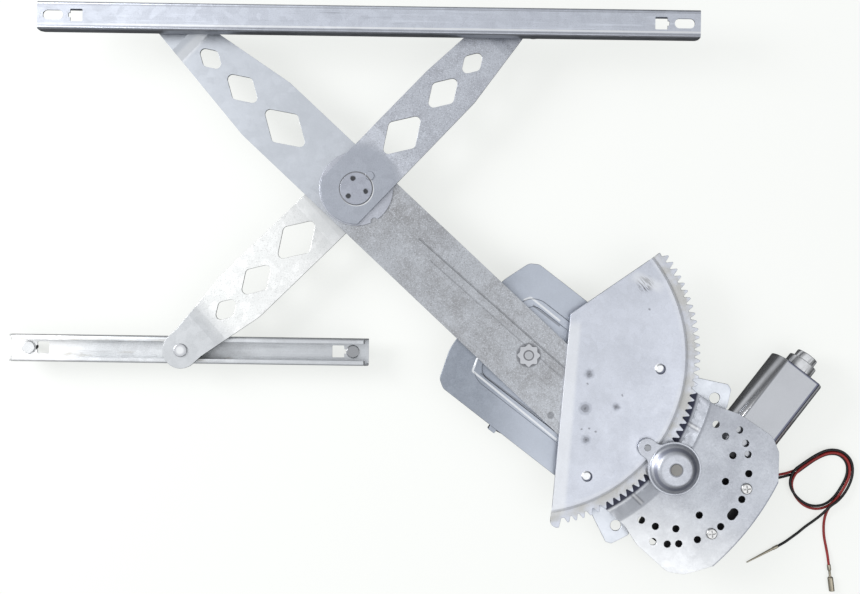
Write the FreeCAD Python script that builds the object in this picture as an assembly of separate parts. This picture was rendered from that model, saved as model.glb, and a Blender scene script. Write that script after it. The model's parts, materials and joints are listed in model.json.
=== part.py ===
import FreeCAD, Part
import math
import os

V = FreeCAD.Vector
UP = V(0, 0, 1)

# All sizes are millimetres, angles are degrees.
# The layout frame has its origin on the main pivot, X along the rails, Y towards
# window up and Z towards the front of the regulator.

# Linkage
LINK = 215.0
REST = 43.2
LIFT_TURN = 180.0 - REST
LOWER_TURN = 180.0 + REST
ARM_GAUGE = 2.5
WASHER = 1.0
RUN_FIT = 0.05
FACE_GAP = 0.15
PAST = 1.0

# PAST is how far a cutter runs past the face it opens.
# Levels of the stacked sheets, measured from the underside of the lift arm
LIFT_LEVEL = 0.0
LIFT_TOP = LIFT_LEVEL + ARM_GAUGE
UPPER_LEVEL = LIFT_TOP + WASHER
LOWER_LEVEL = LIFT_LEVEL - WASHER - ARM_GAUGE
JOGGLE = 1.0

# Lift arm, drawn along its own centre line from the main pivot
LIFT_HALF = 32.4
LIFT_TAIL = -105.0
LIFT_EDGE = ((LIFT_TAIL, -LIFT_HALF, 8.0), (150.0, -30.0, 0.0), (324.1, -27.3, 30.0), (401.0, -14.4, 10.0),
             (440.0, -2.0, 6.0), (444.0, 22.0, 6.0), (322.1, 36.2, 30.0), (LIFT_TAIL, LIFT_HALF, 8.0))
LIFT_STEP = (407.0, 419.0)
LIFT_TILT = 1.0
DIAMONDS_LIFT = ((299.0, 5.2, 45.6, 32.0), (351.1, 6.2, 33.5, 24.0), (390.4, 6.7, 22.5, 17.0))

# Equalizer arms, drawn from the crossing
ARM_HALF = 26.0
ARM_EYE = 31.8
TIP_EYE = 11.0
ARM_TIP_HALF = 16.5
UPPER_EDGE = ((-ARM_EYE, -ARM_HALF + 1.0, 0.0), (129.7, -15.0, 30.0), (203.5, -1.0, 6.0), (222.0, 2.0, 4.0),
              (205.0, 22.0, 4.0), (170.0, 34.2, 6.0), (118.0, 34.8, 30.0), (-ARM_EYE, ARM_HALF + 0.5, 0.0))
LOWER_EDGE = ((-ARM_EYE, -30.0, 0.0), (143.5, -25.2, 30.0), (205.0, -ARM_TIP_HALF, 10.0),
              (LINK + ARM_TIP_HALF, -ARM_TIP_HALF, ARM_TIP_HALF - 0.2),
              (LINK + ARM_TIP_HALF, ARM_TIP_HALF, ARM_TIP_HALF - 0.2), (205.0, ARM_TIP_HALF, 10.0),
              (142.3, 25.8, 30.0), (-ARM_EYE, 21.0, 0.0))
ARM_STEPS = (40.0, 50.0, 178.0, 188.0)
ARM_TILT = 3.0
DIAMONDS_UPPER = ((62.5, 7.5, 43.5, 31.0), (114.9, 10.5, 33.0, 24.0), (152.2, 12.5, 21.8, 16.8))
DIAMONDS_LOWER = ((70.7, -3.1, 43.5, 31.0), (121.8, -1.0, 33.0, 24.0), (160.2, 0.4, 21.8, 16.8))
DIAMOND_ROUND = 4.5
LOCATOR = (16.7, 43.5, 3.9, 0.9)

# Crossing hub
HUB_PIN = 9.0
HUB_HEAD = 14.3
HUB_HEAD_HIGH = 0.4
HUB_WASHER = 33.2
STAKES = (105.0, -13.0, -135.5)
STAKE_AT = 9.6
STAKE_R = 2.3
STAKE_DEEP = 0.3

# Shoes and their studs
STUD_R = 5.0
STUD_HEAD = 6.0
STUD_HEAD_HIGH = 1.6
STUD_SHORT = 1.5
STUD_ROUND = 0.8
SHOE_LONG = 26.0
SHOE_CLEAR = 0.3
SHOE_ROUND = 3.0
SHOE_FOOT = 0.4
SHOE_SLIT = (7.0, 9.0, 4.5)

# Rails
RAIL_WIDE = 24.5
RAIL_DEEP = 14.0
RAIL_GAUGE = 1.5
RAIL_LIP = 4.5
RAIL_BEND = 2.2
TOP_RAIL = (-437.7, 145.3)
TOP_RAIL_LEVEL = 8.0
LOW_RAIL = (-471.2, -144.7)
LOW_RAIL_LEVEL = -5.0
RAIL_SLOT = (14.0, 17.8, 8.6)
TOP_HOLE_AT = 34.5
LOW_HOLE_AT = 28.0
SQUARE_HOLE = 11.0
HOLE_ROUND = 1.0
HOLE_TAB = (0.6, 1.6, 2.0)
LOW_STUD_AT = 14.5
LOW_STUD_R = 3.0
LOW_STUD_HEAD = 6.0
LOW_STUD_LONG = 15.0
LOW_STUD_CAP = 1.6
LOW_STUD_COLLAR = (3.4, 0.2)
END_CHAMFER = 5.0

# Base, drawn along the line from the main pivot to the pinion
BASE_TURN = -37.1
BASE_LEVEL = -5.0
BASE_GAUGE = 2.0
BASE_TOP = BASE_LEVEL + BASE_GAUGE
BASE_EDGE = ((-62.0, 0.0, 60.0), (-59.0, 40.0, 30.0), (-50.0, 66.0, 8.0), (-42.0, 71.0, 8.0),
             (112.0, 71.0, 20.0), (133.3, 77.9, 8.0), (159.0, 90.2, 2.5), (164.2, 88.0, 2.5),
             (172.0, 71.5, 3.0), (152.0, 58.0, 5.0))
RIB_HALF = (39.5, 46.5)
RIB_ENDS = (-34.5, -27.5, 118.0)
RIB_HIGH = 1.5
RIB_WALL = 1.8
RIB_TURNS = (3.4, 18.0, 11.0)
TAB_HOLE = (157.0, 72.8, 4.8)

# Main pivot
PIVOT_R = 8.0
STAR_R = 10.8
STAR_DIP = 8.2
STAR_ROUND = 1.4
STAR_LOBES = 8
STAR_HIGH = 1.8
PIN_R = 4.7
PIN_HIGH = 0.5
BUSH_R = 11.0
BUSH_FLANGE = 16.0
BUSH_LOW = 0.6
BUSH_ROUND = 0.8

# Sector gear and pinion
MODULE = 2.25
SECTOR_FULL = 135
PINION_TEETH = 11
PRESSURE = 25.0
THINNING = 0.15
SECTOR_TEETH = (-15, 27)
SECTOR_GAUGE = 3.0
RIM_STEP = (140.0, 143.0)
RIM_DROP = 2.5
SECTOR_HUB = ((36.9, 37.8), (116.6, 93.8), (21.4, -152.9))
SECTOR_HEEL = ((0.4, 6.0), (2.2, 0.2), (8.0, -1.2))
SECTOR_BUMPS = ((53.3, -107.4), (117.8, -10.6))
BUMP_R = 4.8
BUMP_HIGH = 1.5
BUMP_SLOPE = 1.2
CENTRES = MODULE * (SECTOR_FULL + PINION_TEETH) / 2.0
PINION_Z = (-2.0, 6.0)
PINION_SHAFT = 5.0

# Motor bracket
BRACKET_EDGE = ((138.5, 66.5, 3.0), (160.0, 67.3, 20.0), (180.0, 74.3, 20.0), (216.0, 76.8, 16.0),
                (229.5, 69.0, 8.0), (239.0, 56.0, 8.0), (251.0, 39.6, 0.0))
BRACKET_GAUGE = 2.0
BRACKET_FOOT = 132.0
BRACKET_SLOPE = (160.0, 168.0)
BRACKET_RISE = 8.0
BRACKET_OUTER = 250.0
BRACKET_NOTCH = 18.0
NOTCH_STEP = 4.0
BRACKET_HOLES = ((178.0, 17.75), (189.7, 15.6), (199.5, 18.45), (208.8, 15.85), (202.8, 11.8),
                 (214.7, 13.6), (222.8, 9.65), (208.4, 5.25), (229.4, 3.85))
BRACKET_HOLE_R = 3.2
BRACKET_SLOT = (230.6, 8.0, 11.5)
MOUNT_SCREWS = (227.6, 6.4)
GUSSET = (40.0, 149.5, 164.5, 5.0)
GUSSET_HIGH = 5.4
BRACKET_TOP = BASE_TOP + BRACKET_RISE + BRACKET_GAUGE

# Pinion cap
CAP_RIM = 24.0
CAP_BODY = 22.2
CAP_GAUGE = 1.5
CAP_HIGH = 8.5
CAP_FLAT = 14.0
CAP_SHOULDER = 3.4
CAP_LEAN = 0.8
CAP_CURVES = (5.0, 3.0, 0.8, 1.5, 3.5)
SHAFT_PROUD = 0.6
EAR_AT = -30.5
EAR_R = 8.5
EAR_FLARE = 6.0
BUTTON_R = 5.0
BUTTON_GAP = 0.35
RIVET_R = 2.2
RIVET_HEAD = 3.0
RIVET_HIGH = 0.9
RIVET_ROUND = 0.6

# Gearbox and motor
FLOOR = -36.0
WHEEL_R = 34.0
WORM_R = 5.2
MESH_GAP = 0.55
BOX_ROOM = 1.2
BOX_WALL = 2.8
BOX_R = WHEEL_R + BOX_ROOM + BOX_WALL
BOX_TOP = -6.0
COVER_HIGH = 3.0
COVER_BOSS = 5.0
COVER_GROOVE = (30.0, 27.0, 0.8)
MOTOR_AT = WHEEL_R + WORM_R + MESH_GAP
CAN_START = BOX_R + 10.0
MOTOR_Z = -16.0
TUBE_R = 12.0
TUBE_ENDS = (-30.0, CAN_START - 2.0)
TUBE_FLANGE = (21.0, 8.0)
TUBE_FOOT = 13.0
BOSS_WALL = 4.0
BOX_ROOF = 3.0
BOSS_GAP = 0.5
WORM_HALF = 15.0
WORM_ROOM = 1.4
WORM_END = 6.0
WORM_TOOTH = 1.3
WORM_TURNS = 8
WORM_FLANK = 0.35
SHAFT_R = 2.5
WHEEL_TEETH = 60
WHEEL_Z = (-24.0, -11.0)
WHEEL_TOOTH = 2.0
WHEEL_WEB = 3.0
DAMPER_R = 20.0
DRIVER_R = 10.0
CAN_R = 26.0
CAN_FLAT = 19.0
CAN_ENDS = (CAN_START, CAN_START + 92.0)
CAN_WALL = 1.5
CORE_R = 16.6
CORE_ENDS = (CAN_START + 24.0, CAN_START + 68.0)
CORE_SLOT = (1.2, 7.0)
CORE_SLOTS = 8
MAGNET_R = 17.6
MAGNET_ENDS = (CAN_START + 18.0, CAN_START + 80.0)
MAGNET_FACE = (4.0, 15.0)
END_BOSS = (13.5, CAN_START + 102.0)
END_NUB = (10.0, CAN_START + 109.0)
NUB_WALL = 2.0
BEARING_R = 6.0
COMMUTATOR = (8.0, CAN_START + 8.0, CAN_START + 18.0)
HOLDER = (3.0, 1.0)
BRUSH = (4.0, 15.0, 3.0)
STEM = 8.0
REAR_BUSH = 8.0
PILLAR_R = 6.5
WEB_Z = (-8.0, -3.0)
WEB_EDGE = ((172.0, 44.0, 8.0), (172.0, -62.0, 8.0), (225.0, -62.0, 12.0), (241.0, -40.0, 12.0),
            (241.0, 44.0, 12.0))
LUG = (222.0, 232.0, 37.0, CAN_START - 0.5)
GROMMET = (238.0, 42.0, 53.0)
GROMMET_Z = (-32.0, -23.0)
GROMMET_ROUND = 1.5
SCREW_R = 2.5
SCREW_HEAD = 5.0
SCREW_HIGH = 2.2
SCREW_ROUND = 1.4
RECESS = (3.0, 0.5, 1.2)

# Counterbalance spring
SPRING_OUTER = 73.0
SPRING_INNER = 11.5
SPRING_TURNS = 7
SPRING_STEPS = 12
SPRING_GAUGE = 1.8
SPRING_Z = (-16.0, -6.0)
SPRING_SHIFT = 9.0
SPRING_END = -84.0
SLOT_FIT = 0.2
ANCHOR = (-4.0, 3.0, -2.4, 6.2)

# Motor leads: diameter, and the points their middles pass through in the layout frame
LEAD = 2.4
LEAD_TURN = 0.45
RED_ROUTE = (
    (220.35, -103.21, -27.5), (226.33, -107.73, -27.5), (234.0, -110.0, -29.5),
    (240.0, -109.5, -31.6), (247.0, -108.4, -33.9), (255.5, -105.6, -34.8),
    (263.8, -98.6, -34.8), (273.0, -92.0, -34.8), (284.5, -87.0, -34.8), (296.5, -88.0, -34.8),
    (305.0, -96.5, -34.8), (306.0, -109.0, -34.8), (300.5, -122.0, -34.8),
    (293.0, -132.5, -34.8), (284.5, -140.0, -34.8), (273.5, -142.5, -34.8),
    (262.5, -139.0, -34.8), (254.0, -130.0, -34.6), (250.0, -118.5, -33.6),
    (253.5, -108.0, -31.6), (262.5, -101.0, -32.3), (274.0, -93.5, -32.3),
    (285.0, -88.5, -32.3), (296.0, -89.5, -32.3), (303.5, -97.0, -32.3),
    (305.0, -109.0, -32.3), (299.5, -121.0, -32.3), (292.5, -132.0, -32.0),
    (285.0, -139.5, -31.4), (282.0, -147.5, -32.8), (281.5, -157.0, -34.8),
    (282.0, -167.0, -34.8), (284.0, -176.5, -34.8), (285.0, -182.5, -34.1),
    (285.7, -188.0, -33.5), (286.4, -193.3, -33.5))
BLACK_ROUTE = (
    (218.42, -105.76, -27.5), (224.4, -110.28, -27.5), (234.0, -112.9, -29.5),
    (240.0, -112.3, -31.6), (248.0, -110.6, -33.9), (255.0, -109.2, -34.8),
    (263.8, -102.3, -34.8), (274.5, -94.7, -34.8), (285.0, -90.0, -34.8),
    (295.3, -90.6, -34.8), (302.7, -97.8, -34.8), (303.4, -109.0, -34.8),
    (298.0, -120.5, -34.8), (291.0, -131.0, -34.8), (283.0, -137.5, -34.8),
    (273.5, -139.5, -34.2), (263.5, -137.0, -32.1), (254.0, -130.0, -31.4),
    (247.5, -119.0, -31.6), (251.0, -106.0, -31.6), (261.0, -99.0, -32.3),
    (272.5, -91.0, -32.3), (284.5, -85.5, -32.3), (297.5, -87.0, -32.3), (306.5, -96.0, -32.3),
    (307.5, -109.5, -32.3), (301.8, -122.5, -30.8), (293.3, -132.5, -28.9),
    (285.0, -137.5, -27.8), (279.0, -145.5, -30.8), (272.5, -152.5, -34.0),
    (264.5, -158.5, -34.8), (257.5, -164.6, -34.8), (251.2, -169.2, -34.8),
    (245.1, -173.7, -34.5), (239.0, -177.0, -34.5))
RED_TERMINAL = ((0.0, 0.0), (1.7, 0.0), (1.7, 5.0), (1.1, 6.0), (1.1, 11.3), (2.5, 12.3, 0.6), (2.5, 25.0, 0.4),
                (1.6, 25.0), (1.6, 21.0), (0.0, 21.0))
BLACK_TERMINAL = ((0.0, 0.0), (1.5, 0.0), (1.5, 5.0), (1.2, 6.0), (0.6, 33.0, 0.4), (0.0, 33.0))


def at_polar(radius, degrees, x=0.0, y=0.0):
    turn = math.radians(degrees)
    return x + radius * math.cos(turn), y + radius * math.sin(turn)


def flat(u, v):
    return V(u, v, 0)


def upright(u, v):
    return V(u, 0, v)


def endwise(u, v):
    return V(0, u, v)


def bent_wire(corners, place=flat):
    """Closed wire through the corners; a third value rounds that corner."""
    starts, ends, middles = [], [], []
    count = len(corners)
    for i in range(count):
        here = V(corners[i][0], corners[i][1], 0)
        radius = corners[i][2] if len(corners[i]) > 2 else 0.0
        before = (V(corners[i - 1][0], corners[i - 1][1], 0) - here)
        after = (V(corners[(i + 1) % count][0], corners[(i + 1) % count][1], 0) - here)
        turn = before.getAngle(after)
        if radius <= 0.0 or abs(turn - math.pi) < 1e-4:
            starts.append(here)
            ends.append(here)
            middles.append(None)
            continue
        before.normalize()
        after.normalize()
        reach = radius / math.tan(turn / 2.0)
        inward = before + after
        inward.normalize()
        starts.append(here + before * reach)
        ends.append(here + after * reach)
        middles.append(here + inward * (radius / math.sin(turn / 2.0) - radius))
    edges = []
    for i in range(count):
        if middles[i] is not None:
            trio = [place(p.x, p.y) for p in (starts[i], middles[i], ends[i])]
            edges.append(Part.Arc(*trio).toShape())
        leave, arrive = ends[i], starts[(i + 1) % count]
        if leave.distanceToPoint(arrive) > 1e-5:
            edges.append(Part.LineSegment(place(leave.x, leave.y), place(arrive.x, arrive.y)).toShape())
    return Part.Wire(edges)


def sheet(corners, bottom, top):
    face = Part.Face(bent_wire(corners))
    face.translate(V(0, 0, bottom))
    return face.extrude(V(0, 0, top - bottom))


def bar(x, y, radius, bottom, top):
    return Part.makeCylinder(radius, top - bottom, V(x, y, bottom))


def block(x0, x1, y0, y1, z0, z1):
    return Part.makeBox(x1 - x0, y1 - y0, z1 - z0, V(x0, y0, z0))


def ring(x, y, outer, inner, bottom, top):
    return bar(x, y, outer, bottom, top).cut(bar(x, y, inner, bottom, top))


def turned(corners, x=0.0, y=0.0):
    """Solid of revolution about a vertical line, from radius and height corners."""
    face = Part.Face(bent_wire(corners, upright))
    solid = face.revolve(V(0, 0, 0), UP, 360.0)
    solid.translate(V(x, y, 0))
    return solid


def lying(radius, start, stop, x, z):
    """Bar along the motor axis."""
    return Part.makeCylinder(radius, stop - start, V(x, start, z), V(0, 1, 0))


def mirrored(half):
    """Full outline from the corners on the positive side of the centre line."""
    other = [(c[0], -c[1]) + tuple(c[2:]) for c in reversed(half) if c[1] > 0.0]
    return list(half) + other


def placed(shape, degrees, x=0.0, y=0.0):
    shape = shape.copy()
    shape.rotate(V(0, 0, 0), UP, degrees)
    shape.translate(V(x, y, 0))
    return shape


def pressed(plan, levels, gauge, half):
    """Sheet that follows the levels lengthwise, cut to the plan outline."""
    under = [(s, z) for s, z in levels]
    over = [(s, z + gauge) for s, z in reversed(levels)]
    strip = Part.Face(bent_wire(under + over, upright))
    strip.translate(V(0, -half, 0))
    low = min(z for s, z in levels)
    high = max(z for s, z in levels) + gauge
    return strip.extrude(V(0, 2.0 * half, 0)).common(sheet(plan, low, high))


def diamond(hole, tilt, bottom, top):
    """Rounded diamond hole whose rounded tips are exactly long and wide apart."""
    s, v, long, wide = hole
    a, b = long / 2.0, wide / 2.0
    for _ in range(8):
        tip = math.atan2(b, a)
        a = long / 2.0 + DIAMOND_ROUND * (1.0 / math.sin(tip) - 1.0)
        b = wide / 2.0 + DIAMOND_ROUND * (1.0 / math.cos(tip) - 1.0)
    r = DIAMOND_ROUND
    return placed(sheet(((-a, 0.0, r), (0.0, -b, r), (a, 0.0, r), (0.0, b, r)), bottom, top), tilt, s, v)


def crossing():
    return at_polar(LINK, LIFT_TURN)


def shoe_place(name):
    cx, cy = crossing()
    if name == "upper_left":
        return at_polar(2.0 * LINK, LIFT_TURN)
    if name == "upper_right":
        return at_polar(LINK, REST, cx, cy)
    return at_polar(LINK, LOWER_TURN, cx, cy)


def lift_arm():
    step = UPPER_LEVEL - LIFT_LEVEL
    tip = 2.0 * LINK
    levels = ((LIFT_TAIL - PAST, LIFT_LEVEL), (LIFT_STEP[0], LIFT_LEVEL),
              (LIFT_STEP[1], LIFT_LEVEL + step), (tip + LIFT_HALF, LIFT_LEVEL + step))
    low, high = LIFT_LEVEL - PAST, UPPER_LEVEL + ARM_GAUGE + PAST
    arm = pressed(LIFT_EDGE, levels, ARM_GAUGE, 2.0 * LIFT_HALF)
    arm = arm.fuse(bar(tip, 0.0, TIP_EYE, UPPER_LEVEL, UPPER_LEVEL + ARM_GAUGE)).removeSplitter()
    for hole in DIAMONDS_LIFT:
        arm = arm.cut(diamond(hole, LIFT_TILT, low, high))
    arm = arm.cut(bar(0.0, 0.0, PIVOT_R, low, high))
    arm = arm.cut(bar(LINK, 0.0, HUB_PIN + RUN_FIT, low, high))
    arm = arm.cut(bar(tip, 0.0, STUD_R, low, high))
    return placed(arm, LIFT_TURN)


def equalizer_arm(level, joggle, turn, edge, holes):
    """Half of the equalizer, joggled away from the lift arm between its two ends."""
    far = LINK + 2.0 * ARM_TIP_HALF
    a, b, c, d = ARM_STEPS
    levels = ((-ARM_EYE, level), (a, level), (b, level + joggle), (c, level + joggle), (d, level),
              (far, level))
    arm = pressed(edge, levels, ARM_GAUGE, 2.0 * ARM_HALF)
    low, high = level - 2.0 * PAST, level + ARM_GAUGE + 2.0 * PAST
    room = bar(0.0, 0.0, ARM_EYE, low, high).fuse(block(0.0, far, -2.0 * ARM_HALF, 2.0 * ARM_HALF, low, high))
    arm = arm.common(room).fuse(bar(LINK, 0.0, TIP_EYE, level, level + ARM_GAUGE)).removeSplitter()
    for hole in holes:
        arm = arm.cut(diamond(hole, ARM_TILT, low, high))
    arm = arm.cut(bar(0.0, 0.0, HUB_PIN, low, high))
    arm = arm.cut(bar(LINK, 0.0, STUD_R, low, high))
    return placed(arm, turn, *crossing())


def locator(grown):
    at, angle, radius, high = LOCATOR
    x, y = at_polar(at, angle, *crossing())
    top = UPPER_LEVEL + ARM_GAUGE
    return bar(x, y, radius + grown, top - grown / 2.0, top + high + grown)


def equalizer_upper_arm():
    arm = equalizer_arm(UPPER_LEVEL, JOGGLE, REST, UPPER_EDGE, DIAMONDS_UPPER)
    return arm.fuse(locator(0.0)).removeSplitter()


def equalizer_lower_arm():
    return equalizer_arm(LOWER_LEVEL, -JOGGLE, LOWER_TURN, LOWER_EDGE, DIAMONDS_LOWER)


def cross_hub():
    cx, cy = crossing()
    top = UPPER_LEVEL + ARM_GAUGE
    half = HUB_HEAD_HIGH / 2.0
    corners = ((0.0, LOWER_LEVEL - HUB_HEAD_HIGH), (HUB_HEAD, LOWER_LEVEL - HUB_HEAD_HIGH, half),
               (HUB_HEAD, LOWER_LEVEL), (HUB_PIN, LOWER_LEVEL), (HUB_PIN, top), (HUB_HEAD, top),
               (HUB_HEAD, top + HUB_HEAD_HIGH, half), (0.0, top + HUB_HEAD_HIGH))
    hub = turned(corners, cx, cy)
    for angle in STAKES:
        x, y = at_polar(STAKE_AT, angle, cx, cy)
        high = top + HUB_HEAD_HIGH
        hub = hub.cut(bar(x, y, STAKE_R, high - STAKE_DEEP, high + STAKE_DEEP))
    return hub.cut(locator(FACE_GAP))


def hub_washer(bottom, top):
    cx, cy = crossing()
    washer = ring(cx, cy, HUB_WASHER, HUB_PIN, bottom, top)
    x, y = at_polar(HUB_WASHER, -60.0, cx, cy)
    return washer.cut(bar(x, y, 3.0, bottom - PAST, top + PAST))


def shoe_stud(name, arm_low, rises):
    x, y = shoe_place(name)
    reach = TOP_RAIL_LEVEL - UPPER_LEVEL + RAIL_DEEP - RAIL_GAUGE - STUD_SHORT
    high = STUD_HEAD_HIGH
    corners = ((0.0, -high), (STUD_HEAD, -high, STUD_ROUND), (STUD_HEAD, 0.0), (STUD_R, 0.0),
               (STUD_R, reach, STUD_ROUND), (0.0, reach))
    stud = turned(corners)
    if rises:
        stud.translate(V(x, y, arm_low))
    else:
        stud.rotate(V(0, 0, 0), V(1, 0, 0), 180.0)
        stud.translate(V(x, y, arm_low + ARM_GAUGE))
    return stud


def shoe(name, level, opens_down):
    """Slider that fills the rail between its lips and its web."""
    x, y = shoe_place(name)
    inside = RAIL_WIDE - 2.0 * RAIL_GAUGE - 2.0 * SHOE_CLEAR
    high = RAIL_DEEP - 2.0 * RAIL_GAUGE - 2.0 * SHOE_CLEAR
    low = RAIL_GAUGE + SHOE_CLEAR
    half = ((SHOE_LONG / 2.0, inside / 2.0, SHOE_ROUND), (-SHOE_LONG / 2.0, inside / 2.0, SHOE_ROUND))
    slider = sheet(mirrored(half), low, low + high)
    neck = (RAIL_WIDE - 2.0 * RAIL_LIP) / 2.0 - SHOE_CLEAR
    slider = slider.fuse(bar(0.0, 0.0, neck, SHOE_FOOT, low))
    slider = slider.cut(bar(0.0, 0.0, STUD_R + RUN_FIT, -1.0, low + high + PAST))
    near, far, wide = SHOE_SLIT
    for first, last in ((near, far), (-far, -near)):
        slider = slider.cut(block(first, last, -wide, wide, low + PAST, low + high + PAST))
    if not opens_down:
        slider.rotate(V(0, 0, 0), V(1, 0, 0), 180.0)
    slider.translate(V(x, y, level))
    return slider


def channel(ends):
    """Lipped channel with its web on top, lips at height zero."""
    w, d, g, lip = RAIL_WIDE / 2.0, RAIL_DEEP, RAIL_GAUGE, RAIL_LIP
    outer, inner = RAIL_BEND, RAIL_BEND - RAIL_GAUGE
    corners = ((-w + lip, 0.0), (-w, 0.0, outer), (-w, d, outer), (w, d, outer), (w, 0.0, outer),
               (w - lip, 0.0), (w - lip, g), (w - g, g, inner), (w - g, d - g, inner),
               (-w + g, d - g, inner), (-w + g, g, inner), (-w + lip, g))
    face = Part.Face(bent_wire(corners, endwise))
    face.translate(V(ends[0], 0, 0))
    rail = face.extrude(V(ends[1] - ends[0], 0, 0))
    c = END_CHAMFER
    for end, inward in ((ends[0], 1.0), (ends[1], -1.0)):
        wedge = ((end - inward, -1.0), (end + inward * c, -1.0), (end - inward, c + PAST))
        cutter = Part.Face(bent_wire(wedge, upright))
        cutter.translate(V(0, -RAIL_WIDE, 0))
        rail = rail.cut(cutter.extrude(V(0, 2.0 * RAIL_WIDE, 0)))
    return rail


def square_hole(x, outward, low, high):
    half = SQUARE_HOLE / 2.0
    r = HOLE_ROUND
    hole = sheet(((x - half, -half, r), (x + half, -half, r), (x + half, half, r), (x - half, half, r)),
                 low, high)
    inner, outer, wide = HOLE_TAB
    ends = sorted((x + outward * (half - inner), x + outward * (half + outer)))
    return hole.fuse(block(ends[0], ends[1], -wide, wide, low, high))


def slot_hole(x, long, wide, low, high):
    half, r = long / 2.0 - wide / 2.0, wide / 2.0
    body = block(x - half, x + half, -r, r, low, high)
    return body.fuse(bar(x - half, 0.0, r, low, high)).fuse(bar(x + half, 0.0, r, low, high))


def top_rail():
    rail = channel(TOP_RAIL)
    low, high = RAIL_DEEP - RAIL_GAUGE - PAST, RAIL_DEEP + PAST
    inset, long, wide = RAIL_SLOT
    for end, inward in ((TOP_RAIL[0], 1.0), (TOP_RAIL[1], -1.0)):
        rail = rail.cut(slot_hole(end + inward * inset, long, wide, low, high))
        rail = rail.cut(square_hole(end + inward * TOP_HOLE_AT, -inward, low, high))
    rail.translate(V(0, shoe_place("upper_left")[1], TOP_RAIL_LEVEL))
    return rail


def lower_rail():
    rail = channel(LOW_RAIL)
    low, high = RAIL_DEEP - RAIL_GAUGE - PAST, RAIL_DEEP + PAST
    for end, inward in ((LOW_RAIL[0], 1.0), (LOW_RAIL[1], -1.0)):
        rail = rail.cut(square_hole(end + inward * LOW_HOLE_AT, -inward, low, high))
        rail = rail.cut(bar(end + inward * LOW_STUD_AT, 0.0, LOW_STUD_COLLAR[0], low, high))
    rail.rotate(V(0, 0, 0), V(1, 0, 0), 180.0)
    rail.translate(V(0, 0, LOW_RAIL_LEVEL))
    return rail


def lower_rail_stud(end, inward):
    """Clinched stud: head inside the channel, thread out of the back."""
    x = end + inward * LOW_STUD_AT
    floor = LOW_RAIL_LEVEL - RAIL_DEEP + RAIL_GAUGE
    head = LOW_STUD_HEAD
    tip, r = -RAIL_GAUGE - LOW_STUD_LONG, STUD_ROUND
    collar, proud = LOW_STUD_COLLAR
    root = -RAIL_GAUGE - proud
    corners = ((0.0, LOW_STUD_CAP), (0.0, tip), (LOW_STUD_R - r, tip), (LOW_STUD_R, tip + r),
               (LOW_STUD_R, root), (collar, root), (collar, 0.0), (head, 0.0), (head, LOW_STUD_CAP, r))
    stud = turned(corners)
    stud.translate(V(x, 0, floor))
    return stud


def base_plate():
    plate = sheet(mirrored(BASE_EDGE), BASE_LEVEL, BASE_TOP)
    a, b = RIB_HALF
    near, far, end = RIB_ENDS
    tip, bend, hollow = RIB_TURNS
    outer = ((end, b, tip), (near, b, bend), (near, -b, bend), (end, -b, tip), (end, -a, tip),
             (far, -a, hollow), (far, a, hollow), (end, a, tip))
    w = RIB_WALL
    inner = ((end - w, b - w, tip - w), (near + w, b - w, bend - w), (near + w, -b + w, bend - w),
             (end - w, -b + w, tip - w), (end - w, -a - w, tip - w), (far - w, -a - w, hollow + w),
             (far - w, a + w, hollow + w), (end - w, a + w, tip - w))
    plate = plate.fuse(sheet(outer, BASE_TOP - 0.5, BASE_TOP + RIB_HIGH))
    plate = plate.cut(sheet(inner, BASE_LEVEL - PAST, BASE_LEVEL + RIB_HIGH))
    plate = plate.cut(bar(0.0, 0.0, BUSH_R, BASE_LEVEL - PAST, BASE_TOP + PAST))
    plate = plate.cut(bar(CENTRES, 0.0, BRACKET_NOTCH + NOTCH_STEP, BASE_LEVEL - PAST, BASE_TOP + PAST))
    x, y, r = TAB_HOLE
    for side in (-1.0, 1.0):
        plate = plate.cut(bar(x, side * y, r, BASE_LEVEL - PAST, BASE_TOP + PAST))
    return placed(plate.removeSplitter(), BASE_TURN)


def pressed_bracket_profile():
    a, b = BRACKET_SLOPE
    foot, face, g = BASE_TOP, BASE_TOP + BRACKET_RISE, BRACKET_GAUGE
    return turned(((BRACKET_FOOT, foot), (a, foot), (b, face), (BRACKET_OUTER, face),
                   (BRACKET_OUTER, face + g), (b - 1.0, face + g), (a - 1.0, foot + g),
                   (BRACKET_FOOT, foot + g)))


def gusset(side):
    """Small drop-shaped rib pressed across the inner bend."""
    across, start, stop, wide = GUSSET
    foot, half = BASE_TOP + BRACKET_GAUGE - FACE_GAP, wide / 2.0
    ramp = ((start, foot), (stop, foot), (stop, foot + GUSSET_HIGH))
    face = Part.Face(bent_wire(ramp, upright))
    face.translate(V(0, -half, 0))
    drop = ((start, 0.0), (stop, half, half * 0.9), (stop, -half, half * 0.9))
    rib = face.extrude(V(0, wide, 0)).common(sheet(drop, foot, BRACKET_TOP))
    rib.translate(V(0, side * across, 0))
    return rib


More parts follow.
